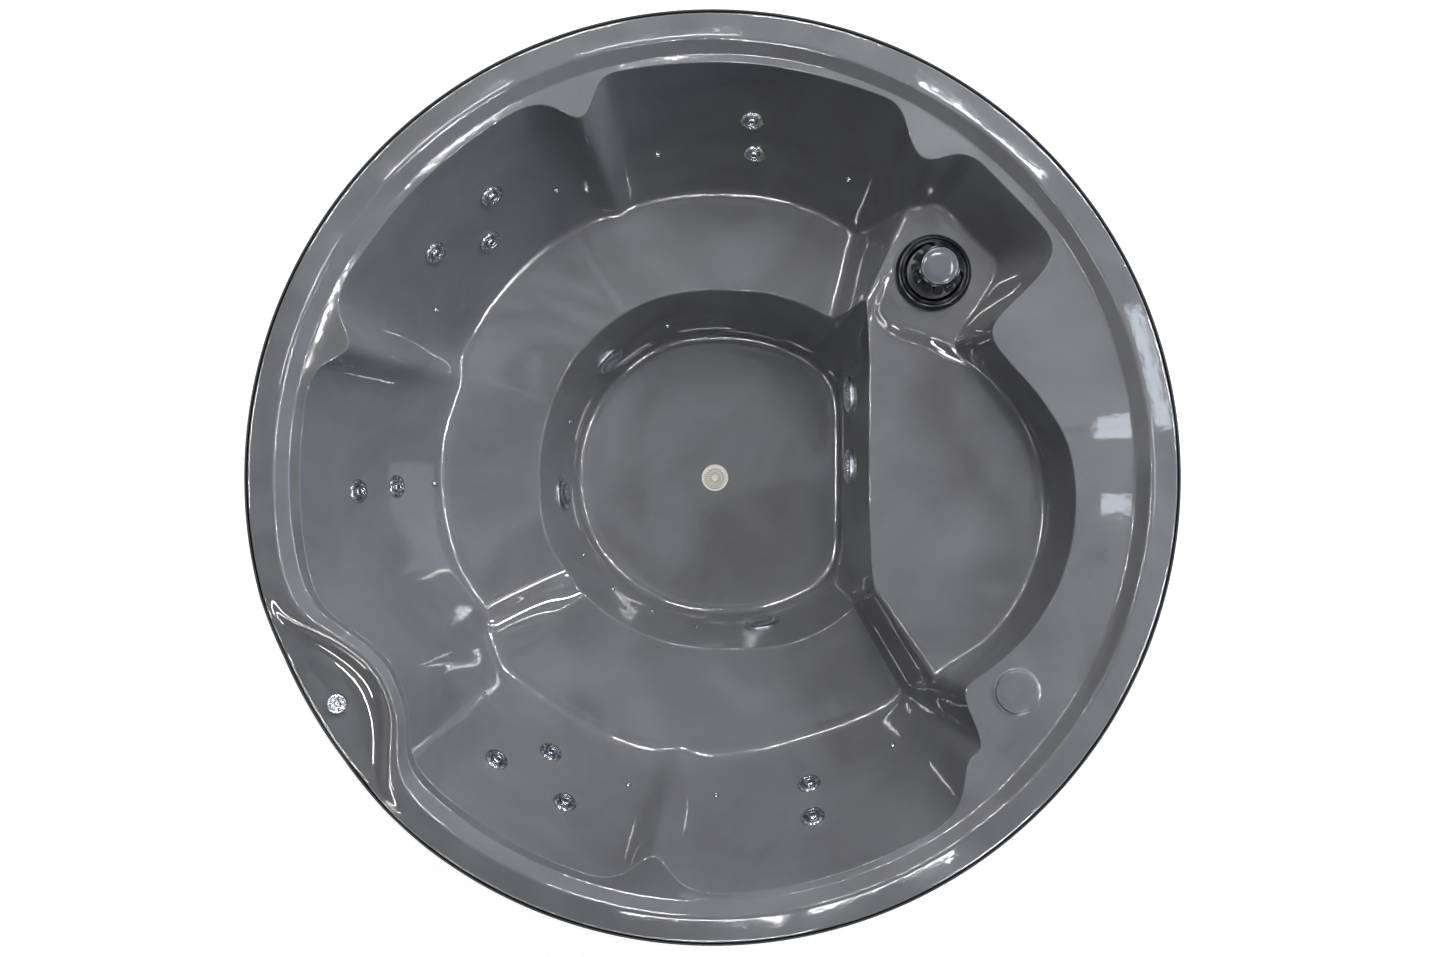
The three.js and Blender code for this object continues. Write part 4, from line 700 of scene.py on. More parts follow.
# boss on the shelf beside the step: a fillet at its foot and a rounded top edge
def bossPart():
    boss = dict(x=651.0, y=-457.0, radius=46.5, shelf=854, height=11, foot=5, top=4.5)
    r, z, h = boss["radius"], boss["shelf"], boss["height"]
    turn = np.radians(np.linspace(0, 90, 7))
    offSine, offCosine = 1 - np.sin(turn), 1 - np.cos(turn)
    foot = zip(r + boss["foot"] * offSine, z + boss["foot"] * offCosine - 0.2)
    crown = zip(r - boss["top"] * offCosine, z + h - boss["top"] * offSine)
    profile = [(0, z - 4), (r + boss["foot"], z - 4), *foot, *crown,
               (r * 0.6, z + h + 0.2), (0, z + h + 0.3)]
    return moved(turnedPart(profile, 120), (boss["x"], boss["y"], 0))


# joins parts to a piece or cuts them out of it, and keeps the result as the piece's mesh
def cutWith(piece, parts, name, operation="DIFFERENCE"):
    points, faceSets, _ = joinParts(parts)
    cutter = bpy.data.objects.new(name, makeMesh(name, points, faceSets))
    bpy.context.scene.collection.objects.link(cutter)
    cut = piece.modifiers.new("cut", "BOOLEAN")
    cut.operation, cut.solver, cut.object = operation, "MANIFOLD", cutter
    depsgraph = bpy.context.evaluated_depsgraph_get()
    mesh = bpy.data.meshes.new_from_object(piece.evaluated_get(depsgraph))
    piece.modifiers.clear()
    piece.data = mesh
    bpy.data.objects.remove(cutter)
    mesh.polygons.foreach_set("use_smooth", np.ones(len(mesh.polygons), bool))
    mesh.set_sharp_from_angle(angle=math.radians(40))


shellPiece = addPiece("shell_moulding", "tub", "acrylic_shell", acrylic, shellParts(), 40, "shell")
cutWith(shellPiece, [bossPart()], "boss", "UNION")
cutWith(shellPiece, holeParts(), "hole_tools")
print("shell moulded:", len(shellPiece.data.polygons), "faces")


filterSet = dict(collar=85.7, collarInner=66, bucket=70, bucketInner=67, bucketDepth=392, flange=76,
                 core=47, tab=58, tabFoot=50, capBottom=4.6, spigot=21, spigotLength=30, tabs=12,
                 tabShare=0.64, edgeDrop=0.7, cartridge=60, valley=51, pleats=48)


# collar: a closed (r, z) section with a seat for the cap and a domed flange, turned round +Z
def collarPart():
    outer, inner = filterSet["collar"], filterSet["collarInner"]
    profile = [(inner, 4.8), (inner, 13), (67.5, 14.6), (70, 14.2), (71, 12.4), (73.5, 12.4),
               (74.5, 17.0), (77.5, 17.6), (80.5, 16.2), (83.2, 12.0), (outer, 8.0), (outer, -2.5),
               (82, -2.5), (82, 4.8)]
    return moved(lathed(profile[::-1], 1.0, 3, 128, ring=True), filterPlace)


# cap: a straight core and, above it, a cone of tabs with open notches between them
# cap: a profile turned at angles set close at the edges of its tabs, and a disc on top of it
def capParts():
    f = filterSet
    period = 360 / f["tabs"]
    half = f["tabShare"] / 2
    across = np.array([-half, -half + 0.025, -half + 0.07, 0, half - 0.07, half - 0.025, half])
    notches = np.array([-0.5 + half + 0.012, -0.06, 0.06, 0.5 - half - 0.012])
    shares = np.concatenate([across, 0.5 + notches])
    angles = (np.arange(f["tabs"])[:, None] * period + shares[None] * period).ravel()
    core, tab, tabFoot, low = f["core"], f["tab"], f["tabFoot"], f["capBottom"]
    profile = [(0, low - f["spigotLength"]), (f["spigot"], low - f["spigotLength"]),
               (f["spigot"], low), (core - 1.5, low), (core, low + 1.5), (core, 14), (core - 1, 15),
               (core - 1, 18), (core, 19), (core, tabFoot - 0.2), (core + 0.3, tabFoot),
               (tab - 1.2, tabFoot), (tab, tabFoot + 1.2), (tab, tabFoot + 3.4),
               (tab - 0.7, tabFoot + 5), (53.4, 66), (49.2, 79), (47.2, 85.0), (46.4, 87.6),
               (45.4, 89.3), (44.2, 89.9), (43.0, 89.5), (42.2, 88.0), (41.8, 86.4), (0, 86.2)]

    # between the tabs the cone falls back to the core; a tab's side edges lie a little lower
    def notch(angle, r, z):
        share = (angle / period + 0.5) % 1 - 0.5
        outside = (r > core - 0.5) & (z > tabFoot - 0.1) & (z < 86)
        between = np.abs(share) > half + 0.005
        edge = np.abs(np.abs(share) - half) < 0.004
        floor = np.where(z < 80, core, 45.6)
        r = np.where(outside & between, np.minimum(r, floor), r)
        return np.where(outside & edge & (r > core + 0.8), r - f["edgeDrop"], r), z

    body = turnedPart(profile, 0, notch, angles=angles)
    disc = turnedPart([(0, 86.0), (41.0, 86.0), (41.4, 87.2), (41.0, 88.6), (39.6, 89.3),
                       (37.5, 89.5), (36.9, 89.0), (36.2, 89.5), (20, 89.8), (0, 89.9)], 96)
    return moved(body, filterPlace), moved(disc, filterPlace)


# bucket: a thin wall and a floor with a flange round the mouth, turned round +Z
def bucketPart():
    f, low = filterSet, -filterSet["bucketDepth"]
    profile = [(0, low), (f["bucket"], low), (f["bucket"], -1), (f["flange"], 1.3),
               (f["flange"], 4.3), (f["bucketInner"], 4.3), (f["bucketInner"], 3 + low),
               (0, 3 + low)]
    return moved(lathed(profile, 1.2, 2, 72), filterPlace)


# star outline of folded pleats, rising straight between two end caps
def cartridgeParts():
    f = filterSet
    low, high = 3.3 - f["bucketDepth"], 4.3
    count = f["pleats"] * 4
    angle = np.arange(count) * 360 / count
    fold = (np.cos(np.radians(angle * f["pleats"])) + 1) / 2
    radius = f["valley"] + (f["cartridge"] - 1.5 - f["valley"]) * fold ** 0.8
    heights = np.linspace(low + 8, high - 8, 12)
    wall = polar(angle[:, None], radius[:, None], heights[None, :]).reshape(-1, 3)
    points = np.vstack([wall, [[0, 0, heights[0]], [0, 0, heights[-1]]]])
    pleats = points, [gridFaces(count, len(heights)), endFans(count, len(heights))]
    rim = [(22, -8), (f["cartridge"], -8), (f["cartridge"], 0), (22, 0)]
    end = lathed(rim, 1.5, 3, 72, ring=True)
    ends = [moved(end, filterPlace + [0, 0, z]) for z in (high, low + 8)]
    return moved(pleats, filterPlace), ends


addPiece("filter_collar_ring", "tub", "black_plastic", blackGloss, collarPart(), 50,
         "filter_collar")
addPiece("filter_bucket_cup", "tub", "black_plastic", blackMatt, bucketPart(), 40, "filter_bucket")
capBody, capDisc = capParts()
addPiece("filter_cap_tabs", "filter_cap", "black_plastic", blackGloss, capBody, 30, "filter_cap")
addPiece("filter_cap_disc", "filter_cap", "grey_plastic", greyLid, capDisc, 40)
pleats, pleatEnds = cartridgeParts()
addPiece("filter_pleats", "filter_cartridge", "filter_paper", fleece, pleats, 60,
         "filter_cartridge")
addPiece("filter_end_caps", "filter_cartridge", "filter_paper", greyPlastic, pleatEnds, 40)
print("filter made")


jet = dict(face=28, stub=11, depth=18, grips=10, gripDepth=1.5, offset=2.4, spin=37)


# flange with shallow finger grips, a groove, and a raised nozzle that sits off the middle
def jetPart():
    face, stub = jet["face"], jet["stub"]
    profile = [(0, -jet["depth"]), (stub, -jet["depth"]), (stub, -3.4), (face - 1.2, -3.4),
               (face, -0.5), (face, 3.6), (26.2, 6.6), (22.5, 8), (18.6, 7.2), (17.2, 3.4),
               (13.4, 3), (12.2, 8.2), (10.2, 10.6), (6.6, 10.9), (5, 9.2), (4.4, 3.6), (0, 3.4)]

    def grips(angle, r, z):
        dent = 0.5 - 0.5 * np.cos(np.radians(angle * jet["grips"]))
        onFlange = np.clip((r - 18) / 3, 0, 1) * np.clip((28.1 - r) / 2.5, 0, 1) * (z > 2)
        return r, z - jet["gripDepth"] * dent ** 2 * onFlange

    points, faces = lathed(profile, 1.1, 3, 60, grips)
    lean = np.clip((14 - np.hypot(points[:, 0], points[:, 1])) / 4, 0, 1) * (points[:, 2] > 2)
    points[:, 0] += jet["offset"] * lean
    return points, faces


# a small black dome turned round +Z that closes the nozzle's bore: painted shade for the open bore
def throatPart():
    part = turnedPart([(0, 3.5), (4.2, 3.5), (4.2, 4.4), (3.0, 5.0), (0, 5.2)], 20)
    return moved(part, (jet["offset"], 0, 0))


jetMesh, throatMesh = jetPart(), throatPart()
for i, place in enumerate(jetPlaces):
    face, spin = f"jet_face_{i + 1}", jet["spin"] * i
    addPiece(f"jet_ring_{i + 1}", face, "chrome", chrome, standOn(jetMesh, *place, spin), 40, face)
    # the black dome in each nozzle is painted shade of its open bore
    addPiece(f"jet_throat_{i + 1}", face, "black_plastic", blackGloss,
             standOn(throatMesh, *place, spin), 40)


# the same part at several places, each numbered
def addFittings(name, places, slot, materials, part, sharp, replaced=None):
    for i, place in enumerate(places, 1):
        solids = [f"{replaced}_{i}"] if replaced else []
        addPiece(f"{name}_{i}", "tub", slot, materials, standOn(part, *place), sharp, *solids)


# dome with two rings of slots sunk into it; faces at the bottom of a slot take the dark material,
# painted shade for the depth of an open slot
def slottedPart(profile, rings, periods, push):
    shares = np.array([0.0, 0.22, 0.245, 0.5, 0.755, 0.78])
    angles = (np.arange(periods)[:, None] + shares[None]).ravel() * 360 / periods
    m = len(profile) - 2
    radii = np.array(profile, float)[:, 0]
    inRing = np.array([any(a <= r <= b for a, b in rings) for r in radii[1:-1]])
    sunk = inRing & (np.arange(m) > np.argmax(radii))

    def slots(angle, r, z):
        part = (angle * periods / 360) % 1
        return r, np.where((part > 0.23) & (part < 0.77) & sunk, z - push, z)

    points, (quads, caps) = turnedPart(profile, 0, slots, angles=angles)
    column, row = quads[:, 0] // m, quads[:, 0] % m
    part = column % len(shares)
    # the slot bottoms that take the painted shade
    dark = (part >= 2) & (part < 4) & sunk[row] & inRing[np.minimum(row + 1, m - 1)]
    return points, [quads[~dark], quads[dark], caps], [0, 1, 0]


suctionProfile = [
    (0, -62), (26, -62), (26, -5), (45.2, -5), (46.4, -4), (47, -2.5), (47, 4), (46.4, 6),
    (45.6, 7), (44.6, 8), (44.5, 8.05), (40.5, 10.7), (36.1, 12.8), (36, 12.85), (34.6, 13.4),
    (33.4, 13.6), (32, 14.1), (31.9, 14.12), (26, 15.4), (20.1, 16.2), (20, 16.22), (17.5, 16.4),
    (15.5, 16.3), (14.8, 15.8), (8, 15.7), (3.6, 15.8), (3, 16.6), (1.8, 17.2), (0, 17.3)]
drainProfile = [
    (0, -42), (24, -42), (24, -3), (36, -3), (36.8, -2.2), (37, -1), (37, 1.6), (36.4, 2.6),
    (35, 3), (33.5, 2.6), (32.6, 1.6), (30.5, 1.6), (29.8, 4.4), (28.8, 5.4), (27, 5.9),
    (26.9, 5.9), (22, 6), (19.1, 6), (19, 6), (17.6, 6), (17.5, 6), (12, 6), (9.1, 6),
    (9, 6), (6, 6), (5, 5.4), (2, 5.3), (0, 5.3)]
injectorProfile = [(0, -24), (4.4, -24), (4.4, -3.4), (6, -3.4), (6.6, -1), (6.6, 2.4), (5.2, 4.6),
                   (3.4, 5.4), (2.4, 4.9), (2, 3.2), (0, 3)]
suctionMesh = slottedPart(suctionProfile, [(36.05, 44.55), (20.05, 31.95)], 30, 4.5)
drainMesh = slottedPart(drainProfile, [(19.05, 26.95), (9.05, 17.55)], 24, 2.2)
injectorMesh = lathed(injectorProfile, 0.6, 2, 28)
# the suction grilles' slot bottoms are black and the drain's a darker copy of the pale ABS: painted
# shade of the openings
addFittings("suction_grille", suctionPlaces, "cover_steel", [coverSteel, blackMatt], suctionMesh,
            35, "suction_cover")
addPiece("drain_grille", "tub", "cover_steel", [palePlastic, paleShade],
         moved(drainMesh, drainPlace), 35, "floor_drain")
addFittings("injector_button", injectorPlaces, "chrome", chrome, injectorMesh, 40, "air_injector")
addFittings("footwell_injector", footwellPlaces, "chrome", chrome, injectorMesh, 40)


knob = dict(hollows=6, hollowDepth=5.2, spokeRise=1.6)


# knob with hollows between spokes: z falls by a smooth step inside each hollow
def knobPart():
    profile = softened([(0, -15.7), (6, -15.7), (6, 4.6), (21, 4.6), (21.5, 6), (21.5, 11.4),
                        (20.2, 14.4), (18.4, 15.2), (16.6, 14.4), (15.8, 13.4)], 0.7, 2)[:-1]
    bowl = [(r, 13.6) for r in (15.6, 14.6, 13.6, 12, 10, 8, 7, 6.2)]
    profile = np.vstack([profile, bowl, [(5.4, 14.6), (3.6, 15.8), (0, 16.2)]])

    def hollows(angle, r, z):
        lobe = np.cos(np.radians(angle * knob["hollows"] / 2)) ** 2
        across = np.clip((lobe - 0.22) / 0.2, 0, 1)
        along = np.clip((r - 6.6) / 1.2, 0, 1) * np.clip((16.4 - r) / 1.2, 0, 1) * (z > 12)
        rib = (1 - across) * np.clip((r - 5) / 2, 0, 1) * np.clip((17 - r) / 2, 0, 1) * (z > 12)
        return r, z - knob["hollowDepth"] * across * along + knob["spokeRise"] * rib

    return moved(turnedPart(profile, 120, hollows), airPlace)


addPiece("air_knob_rosette", "air_control_knob", "chrome", chrome, knobPart(), 35,
         "air_control_knob")
print("fittings made")


cabinet = dict(outer=965, inner=949, top=881.6, bottom=12.3, controlTop=852, lowFrom=-173,
               lowTo=-127.6, hatch=(166.3, 689), hatchHole=(166, 690), hatchHalf=22.5, step=7.5,
               chamfer=4.5, bevel=0.1, gap=0.8, tongue=0.28, endShare=0.985, seed=11)
random = np.random.default_rng(cabinet["seed"])


# a straight board between two angles: chamfered outer corners, its section repeated up the board
def stavePart(a, b, z0, z1):
    c = cabinet
    outer = polar(a, c["outer"], 0), polar(b, c["outer"], 0)
    inner = polar(a, c["inner"], 0), polar(b, c["inner"], 0)
    width = np.linalg.norm(outer[1] - outer[0])
    g, e, deep, bevel = c["gap"] / width, c["chamfer"] / width, c["tongue"], c["bevel"]
    half = [(g, 1), (g, deep), (e * 0.5, bevel), (e, 0), (e + 0.05, 0)]
    other = [(1 - share, inward) for share, inward in half[3::-1]]
    section = np.array([
        lerp(lerp(outer[0], inner[0], inward), lerp(outer[1], inner[1], inward), share)
        for share, inward in half + [(0.5, 0), (0.95 - e, 0)] + other])
    heart = polar((a + b) / 2, (c["outer"] + c["inner"]) / 2, 0)
    heights = np.concatenate([[z0, z0 + 1], np.linspace(z0 + 3, z1 - 3, 6), [z1 - 1, z1]])
    shrink = np.ones(len(heights))
    shrink[[0, -1]] = c["endShare"]
    grid = heart + (section[:, None] - heart) * shrink[None, :, None]
    grid[..., 2] = heights[None, :]
    return prismPart(grid)


# a panel of boards side by side; each keeps a tone of its own in a point attribute
def stavePanel(name, angles, spans, body, replaced):
    parts, boards = [], []
    for a in angles:
        tone = random.random()
        for z0, z1 in spans(a):
            parts.append(stavePart(a, a + cabinet["step"], z0, z1))
            boards.append(np.full(len(parts[-1][0]), tone))
    piece = addPiece(name, body, "cabinet_wood", staveWood, parts, 25, replaced)
    attribute = piece.data.attributes.new("board", "FLOAT", "POINT")
    attribute.data.foreach_set("value", np.concatenate(boards).astype(np.float32))


# the angle at which each board between two edges starts
def steps(start, end):
    return np.arange(start, end - 0.1, cabinet["step"])


# a board's heights: open at the hatch, and lower beside the control platform
def skirtSpans(a):
    low, top, hole = cabinet["bottom"], cabinet["top"], cabinet["hatchHole"]
    if -cabinet["hatchHalf"] <= a < cabinet["hatchHalf"]:
        return [(low, hole[0]), (hole[1], top)]
    lowered = cabinet["lowFrom"] < a < cabinet["lowTo"]
    return [(low, cabinet["controlTop"] if lowered else top)]


hatchSteps = steps(-cabinet["hatchHalf"], cabinet["hatchHalf"])
stavePanel("staves_right", steps(-60, 60), skirtSpans, "tub", "skirt_panel_right")
stavePanel("staves_back", steps(60, 180), skirtSpans, "tub", "skirt_panel_back")
stavePanel("staves_front", steps(-180, -60), skirtSpans, "tub", "skirt_panel_front")
stavePanel("hatch_staves", hatchSteps, lambda a: [cabinet["hatch"]], "access_door", "access_door")


# hoop: the rectangle of a flat strip with softened corners, turned round +Z
def hoopPart(z0):
    profile = [(965.3, z0), (968.3, z0), (968.3, z0 + 40), (965.3, z0 + 40)]
    return lathed(profile, 0.8, 2, 240, ring=True)


hoops = dict(lower=105, upper=706)
for name, z0 in hoops.items():
    addPiece(f"hoop_{name}", "tub", "band_steel", hoopSteel, hoopPart(z0), 30, f"band_{name}")


# edging with a rounded top, a small bead and a lower lip. Its top goes down with the control
# platform: z falls by 22 mm times the row's drop, in proportion to its height over the foot
def edgingPart():
    foot, tall = 845, 39
    profile = [(985.8, foot), (989.2, foot), (990.6, 846.6), (990.6, 872), (989.4, 873.4),
               (989.4, 875), (990.6, 876.6), (990.6, 882.6), (989, foot + tall),
               (985.8, foot + tall)]
    every = cabinet["step"]
    drops = np.interp(np.arange(-180, 181, every), rows[:, 0], rows[:, 12])

    def follow(angle, r, z):
        share = np.interp((angle + 180) % 360 - 180, np.arange(-180, 181, every), drops)
        fall = (shell["height"] - shell["controlPlatform"]) * share
        return r, z - fall * np.clip((z - foot) / tall, 0, 1)

    return lathed(profile, 1.0, 2, 288, follow, ring=True)


addPiece("rubber_edging", "tub", "edge_trim", rubber, edgingPart(), 35, "edge_trim")


# round bar along a level path: centre line plus the radius times (side cos t + up sin t)
def barPart(path, z, radius, sides=16):
    line = np.column_stack([np.array(path, float), np.full(len(path), float(z))])
    way = unit(np.gradient(line, axis=0))
    side = np.stack([-way[:, 1], way[:, 0], way[:, 2]], -1)
    turn = np.radians(np.arange(sides) * 360 / sides)[:, None, None]
    return prismPart(line + radius * (side * np.cos(turn) + np.array([0, 0, 1.0]) * np.sin(turn)))


# box with rounded upright edges: each row (height, inset) is one rounded rectangle drawn in
def boxPart(low, high, rounding, rowsUp=None):
    low, high = np.array(low, float), np.array(high, float)
    tall, edge = high[2] - low[2], rounding / 2
    rowsUp = np.array(rowsUp or [(0, edge), (edge, 0), (tall - edge, 0), (tall, edge)])
    turn = np.radians(np.concatenate([np.linspace(0, 90, 5) + 90 * q for q in range(4)]))
    signs = np.repeat([[1, 1], [-1, 1], [-1, -1], [1, -1]], 5, 0)
    corner = signs * ((high - low)[:2] / 2 - rounding)
    arc = np.stack([np.cos(turn), np.sin(turn)], -1)[:, None] * (rounding - rowsUp[None, :, 1:2])
    flat = (low + high)[:2] / 2 + corner[:, None] + arc
    up = np.broadcast_to(low[2] + rowsUp[None, :, :1], (*flat.shape[:2], 1))
    return prismPart(np.concatenate([flat, up], -1))


# turned round +Z: (x, y) becomes (x cos a - y sin a, x sin a + y cos a)
def turnedAbout(part, degrees):
    c, s = math.cos(math.radians(degrees)), math.sin(math.radians(degrees))
    return (part[0] @ np.array([[c, s, 0], [-s, c, 0], [0, 0, 1]]), *part[1:])


# hatch pull: a bar on two rosettes, and slotted coach bolts that hold each board to its ledges
pull = dict(z=612, half=58, foot=958, reach=981, face=961.5, bar=5.5, rosette=13)
bolt = dict(rows=(196, 430, 664), first=-18.75, boards=6, radius=6.5, face=962.9)
pullEnds = -pull["half"], pull["half"]
pullPath = [(pull["foot"], pullEnds[0]), *((pull["reach"], y) for y in pullEnds),
            (pull["foot"], pullEnds[1])]
rosette = lathed([(0, -6), (pull["rosette"], -6), (pull["rosette"], 2.5), (9, 4), (0, 4)], 1, 2, 32)
addPiece("hatch_pull", "access_door", "black_plastic", blackMatt,
         [barPart(softened(pullPath, 14, 6), pull["z"], pull["bar"])]
         + [standOn(rosette, (pull["face"], y, pull["z"]), (1, 0, 0)) for y in pullEnds], 40)
boltHead = turnedPart([(0, -2), (bolt["radius"], -2), (bolt["radius"], 0.6), (4.6, 2.4), (2.6, 3.2),
                       (2.4, 1.4), (0, 1.4)], 20)
boltAngles = [bolt["first"] + cabinet["step"] * k for k in range(bolt["boards"])]
bolts = [standOn(boltHead, polar(angle, bolt["face"], z), polar(angle, 1.0, 0))
         for angle in boltAngles for z in bolt["rows"]]
addPiece("hatch_bolts", "access_door", "band_steel", coverSteel, bolts, 40)

# tension clamp of each hoop: two lugs on their feet and a bolt with two nuts across them
clamp = dict(angle=150, back=968.2, lug=984, foot=970.4, boltAt=977, boltEnds=(-28, 34), height=32)
clamps = []
for z in (hoop + 4 for hoop in hoops.values()):
    for half, front, middles, rounding in ((3, clamp["lug"], (-16, 16), 1.5),
                                           (9, clamp["foot"], (-24, 24), 1.0)):
        clamps += [boxPart((clamp["back"], y - half, z), (front, y + half, z + clamp["height"]),
                           rounding) for y in middles]
    for ends, radius, sides in ((clamp["boltEnds"], 3.6, 16), ((19, 25), 6.8, 6),
                                ((-25, -19), 6.8, 6)):
        clamps.append(barPart([(clamp["boltAt"], y) for y in ends], z + 16, radius, sides))
addPiece("hoop_clamps", "tub", "band_steel", coverSteel,
         [turnedAbout(part, clamp["angle"]) for part in clamps], 35)
print("cabinet made")


# equipment behind the hatch: pump with a ribbed wet end and a finned motor on feet, control box
pump = dict(x=530, wetY=-30, motorY=-114.3, z=118, floor=12.3, ribs=10, fins=24, finDepth=5,
            ribShare=0.82, ribDepth=4)


# wet end: a profile turned round its axis, its rim set back between the ribs
def wetEndPart():
    profile = [(0, 0), (32, 0), (34, 5), (50, 7), (66, 13), (77, 17), (80, 24), (80, 58), (75, 60),
               (75, 66), (80, 68), (80, 84), (0, 84)]

    def ribs(angle, r, z):
        rib = np.cos(np.radians(angle * pump["ribs"])) > pump["ribShare"]
        return np.where((z > 25) & (z < 58) & ~rib, r - pump["ribDepth"], r), z

    part = lathed(profile, 1.5, 2, 240, ribs)
    return standOn(part, (pump["x"], pump["wetY"], pump["z"]), (0, -1, 0))


# motor: fins are a rounded square wave of the angle, between a front shield and a fan cowl
def motorParts():
    profile = [(0, 0), (70, 0), (72, 3), (72, 22), (68, 24), (68, 28), (71.5, 30), (71.5, 168),
               (68, 170), (68, 173), (72, 175), (72, 216), (66, 228), (57, 236), (0, 236)]

    def fins(angle, r, z):
        wave = np.clip(0.5 + 2.2 * np.cos(np.radians(angle * pump["fins"])), 0, 1)
        onBody = (z > 29) & (z < 169) & (r > 70)
        return np.where(onBody, r - pump["finDepth"] * (1 - wave), r), z

    x, y, low = pump["x"], pump["motorY"], pump["floor"]
    body = standOn(lathed(profile, 1.2, 2, 384, fins), (x, y, pump["z"]), (0, -1, 0))
    feet = [boxPart((x - 65, y - 212, low), (x + 65, y - 24, low + 7), 5)]
    feet += [boxPart((x - 48, y - a - 26, low + 6), (x + 48, y - a, 66), 6) for a in (34, 176)]
    return body, feet


motorBody, motorFeet = motorParts()
addPiece("pump_wet_casing", "tub", "black_plastic", blackMatt, wetEndPart(), 35, "pump_wet_end")
addPiece("pump_motor_body", "tub", "grey_plastic", motorPaint, motorBody, 35, "pump_motor")
addPiece("pump_feet", "tub", "black_plastic", blackMatt, motorFeet, 35)
box = dict(low=(557, 90, 12.3), high=(747, 390, 342.3), rounding=9, seam=232, face=746.5,
           screwRows=(262, 322), screwPlaces=(108, 240, 372))
seam = box["seam"]
boxRows = [(0, 3), (3, 0), (seam - 3, 0), (seam - 1, 2.5), (seam + 1, 2.5), (seam + 3, 0),
           (322, 0), (328, 2), (330, 5)]
screw = turnedPart([(0, -2), (5, -2), (5, 1.2), (3.5, 2), (2, 1.6), (0, 1.6)], 16)
addPiece("control_box_case", "tub", "grey_plastic", greyPlastic,
         boxPart(box["low"], box["high"], box["rounding"], boxRows), 35, "control_pack")
screws = [standOn(screw, (box["face"], y, z), (1, 0, 0))
          for y in box["screwPlaces"] for z in box["screwRows"]]
addPiece("control_box_screws", "tub", "band_steel", coverSteel, screws, 40)
print("equipment made")


finishes = dict(base_pan=blackMatt, frame=frameWood, air_control_body=greyPlastic,
                suction_pipe=pipePlastic, pressure_pipe=pipePlastic)
finishes.update({f"jet_body_{k + 1}": greyPlastic for k in range(len(jetPlaces))})
for name, material in finishes.items():
    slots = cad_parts[name].data.materials
    slots.clear()
    slots.append(material)


# 1 for the named kinds of ray, 0 for the others
def seenBy(tree, *kinds):
    path = addNode(tree, "LightPath")
    seen = path.outputs[kinds[0]]
    for kind in kinds[1:]:
        sides = {0: seen, 1: path.outputs[kind]}
        seen = addNode(tree, "Math", sides, operation="MAXIMUM").outputs[0]
    return seen


# white sweep: seen directly, mirrored or through glass it is lifted to white, and keeps the shadow
def floorMaterial(lift, shade):
    material, tree = newMaterial("white_studio_sweep")
    seen = seenBy(tree, "Is Camera Ray", "Is Glossy Ray", "Is Transmission Ray")
    strength = addNode(tree, "Math", {0: seen, 1: lift}, operation="MULTIPLY").outputs[0]
    glow = addNode(tree, "Emission", {"Color": (1, 1, 1, 1), "Strength": strength})
    matt = addNode(tree, "BsdfDiffuse", {"Color": (shade, shade, shade, 1)})
    both = addNode(tree, "AddShader", {0: glow.outputs[0], 1: matt.outputs[0]})
    addNode(tree, "OutputMaterial", {"Surface": both.outputs[0]})
    return material


floorSpan, floorDrop = 60000, 1.0
floorCorners = np.array([[-1, -1, 0], [1, -1, 0], [1, 1, 0], [-1, 1, 0]])
floorMesh = makeMesh("studio_floor", floorCorners * floorSpan - [0, 0, floorDrop], [[[0, 1, 2, 3]]])
floorMesh.materials.append(floorMaterial(lift=0.9, shade=0.42))
floorObject = bpy.data.objects.new("studio_floor", floorMesh)
bpy.context.scene.collection.objects.link(floorObject)

# seen directly, mirrored or through glass the studio is white low down and dark overhead with soft
# pale patches; matt light from it is even and dim
worldLook = dict(ambient=0.03, low="#f3f3f3", above="#33373f", patch="#e3e9f4", start=0.10,
                 full=0.42)
world = bpy.data.worlds.new("studio")
bpy.context.scene.world = world
world.use_nodes = True
tree = world.node_tree
tree.nodes.clear()
way = addNode(tree, "TexCoord").outputs["Generated"]
height = addNode(tree, "SeparateXYZ", {0: way}).outputs["Z"]
patches = addNode(tree, "TexNoise", {"Vector": way, "Scale": 11, "Detail": 3, "Distortion": 1.2})
patchShare = ranged(tree, patches.outputs["Fac"], 0.50, 0.56)
overhead = mixed(tree, patchShare, worldLook["above"], worldLook["patch"])
rising = ranged(tree, height, worldLook["start"], worldLook["full"])
dome = mixed(tree, rising, worldLook["low"], overhead)
direct = seenBy(tree, "Is Camera Ray", "Is Transmission Ray")
shown = mixed(tree, direct, dome, worldLook["low"])
seen = seenBy(tree, "Is Camera Ray", "Is Transmission Ray", "Is Glossy Ray")
even = addNode(tree, "Background", {"Color": (1, 1, 1, 1), "Strength": worldLook["ambient"]})
studio = addNode(tree, "Background", {"Color": shown, "Strength": 1})
sky = addNode(tree, "MixShader", {0: seen, 1: even.outputs[0], 2: studio.outputs[0]})
addNode(tree, "OutputWorld", {"Surface": sky.outputs[0]})

# the shell and all the other pieces are lit apart by the lamps that only mirrors see
mouldings, fittings = bpy.data.collections.new("mouldings"), bpy.data.collections.new("fittings")
for group in (mouldings, fittings):
    group.objects.link(shellPiece)
fittings.collection_objects[0].light_linking.link_state = "EXCLUDE"


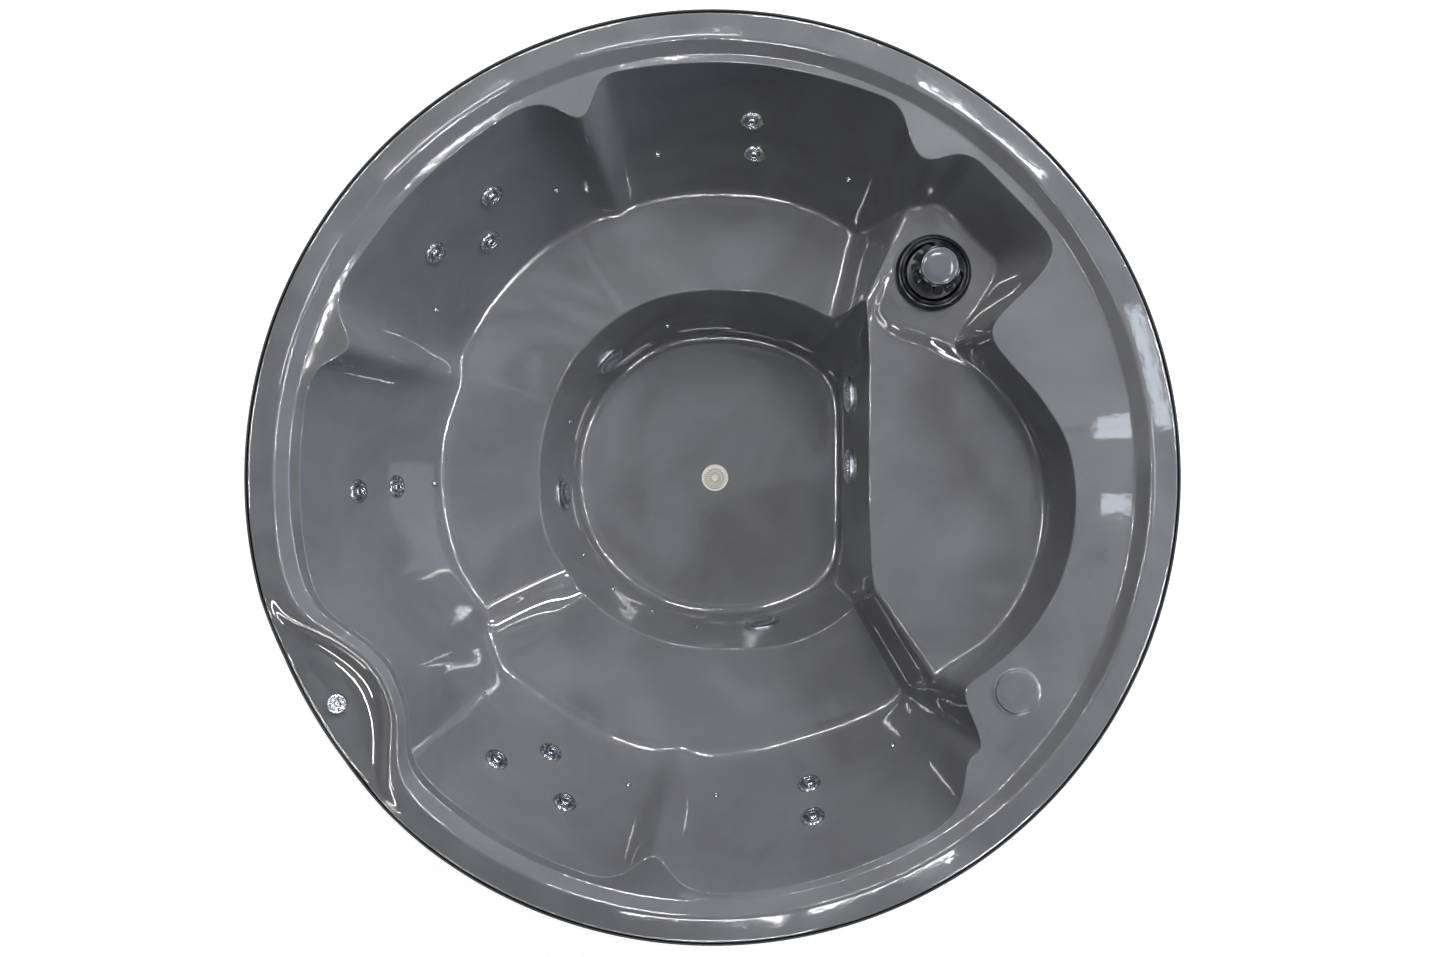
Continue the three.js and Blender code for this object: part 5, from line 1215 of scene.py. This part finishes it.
# a lamp aimed at the tub's middle, its long side level; direction in degrees round +Z and upwards
def addLamp(name, azimuth, elevation, distance, size, power, colour=(1, 1, 1), kind="matt",
            target=0.5, receivers=None):
    data = bpy.data.lights.new(name, "AREA")
    data.shape = "RECTANGLE"
    data.size, data.size_y = size
    data.energy = power
    data.color = colour
    lamp = bpy.data.objects.new(name, data)
    turn, rise = math.radians(azimuth), math.radians(elevation)
    level = distance * math.cos(rise)
    lamp.location = (level * math.cos(turn), level * math.sin(turn),
                     target + distance * math.sin(rise))
    lamp.rotation_euler = (math.pi / 2 - rise, 0, turn + math.pi / 2)
    lamp.visible_diffuse = kind != "gloss"
    lamp.visible_glossy = kind != "matt"
    if receivers:
        lamp.light_linking.receiver_collection = receivers
    bpy.context.scene.collection.objects.link(lamp)


# a lamp that only mirrors see, on the moulding unless told otherwise
def addGlint(*setup, receivers=mouldings):
    addLamp(*setup, kind="gloss", receivers=receivers)


# thin lamps in rings draw the dashed bright lines along the edges of the moulding; they are weak
# over the control platform, whose hollow would mirror them as broad white bands
lampRings = dict(high=dict(count=11, place=(51.3, 7.04, (1.3, 0.07)), power=200, turn=12),
                 low=dict(count=8, place=(38, 4.39, (0.9, 0.05)), power=85, turn=35))
weakSide = dict(middle=222, reach=36, share=0.3)
for name, ring in lampRings.items():
    for i in range(ring["count"]):
        azimuth = ring["turn"] + 360 * i / ring["count"]
        weak = abs(azimuth - weakSide["middle"]) < weakSide["reach"]
        power = ring["power"] * (weakSide["share"] if weak else 1)
        addGlint(f"{name}_tube_{i}", azimuth, *ring["place"], power)
for i in range(7):
    addGlint(f"fitting_lamp_{i}", 20 + 360 * i / 7, 58, 5, (1.1, 0.4), 40, receivers=fittings)
# skylights overhead: their images lie on the right shelf and rim, and the crest tubes' on the crest
skyColour = (0.80, 0.90, 1.0)
addGlint("skylight_shelf", 1.6, 64.7, 6.08, (0.62, 0.26), 5, skyColour)
addGlint("skylight_rim", 14.5, 62.6, 6.2, (0.8, 0.10), 2.6, skyColour)
for azimuth in (53, 98, 128, 158, 268, 292):
    addGlint(f"crest_tube_{azimuth}", azimuth, 63.2, 6.163, (1.0, 0.02), 9)
addLamp("main_softbox", 80, 61, 5, (1.8, 2.6), 162)
addLamp("side_softbox", 33, 38, 5, (2.6, 1.6), 112, (0.93, 0.95, 1.0))
addLamp("front_softbox", -45, 50, 5, (1.7, 1.7), 18)
addLamp("window_light", 0, 15, 5, (1.7, 1.7), 55, (0.36, 0.58, 1.0))
addGlint("window_mirrored", 15, 36, 5, (2.6, 0.7), 60, (0.72, 0.84, 1.0))
for i in range(4):
    addLamp(f"skirt_light_{i}", 45 + 90 * i, 3, 4.6, (2.2, 0.5), 48, kind="both", target=0.2)
print("light and floor set")
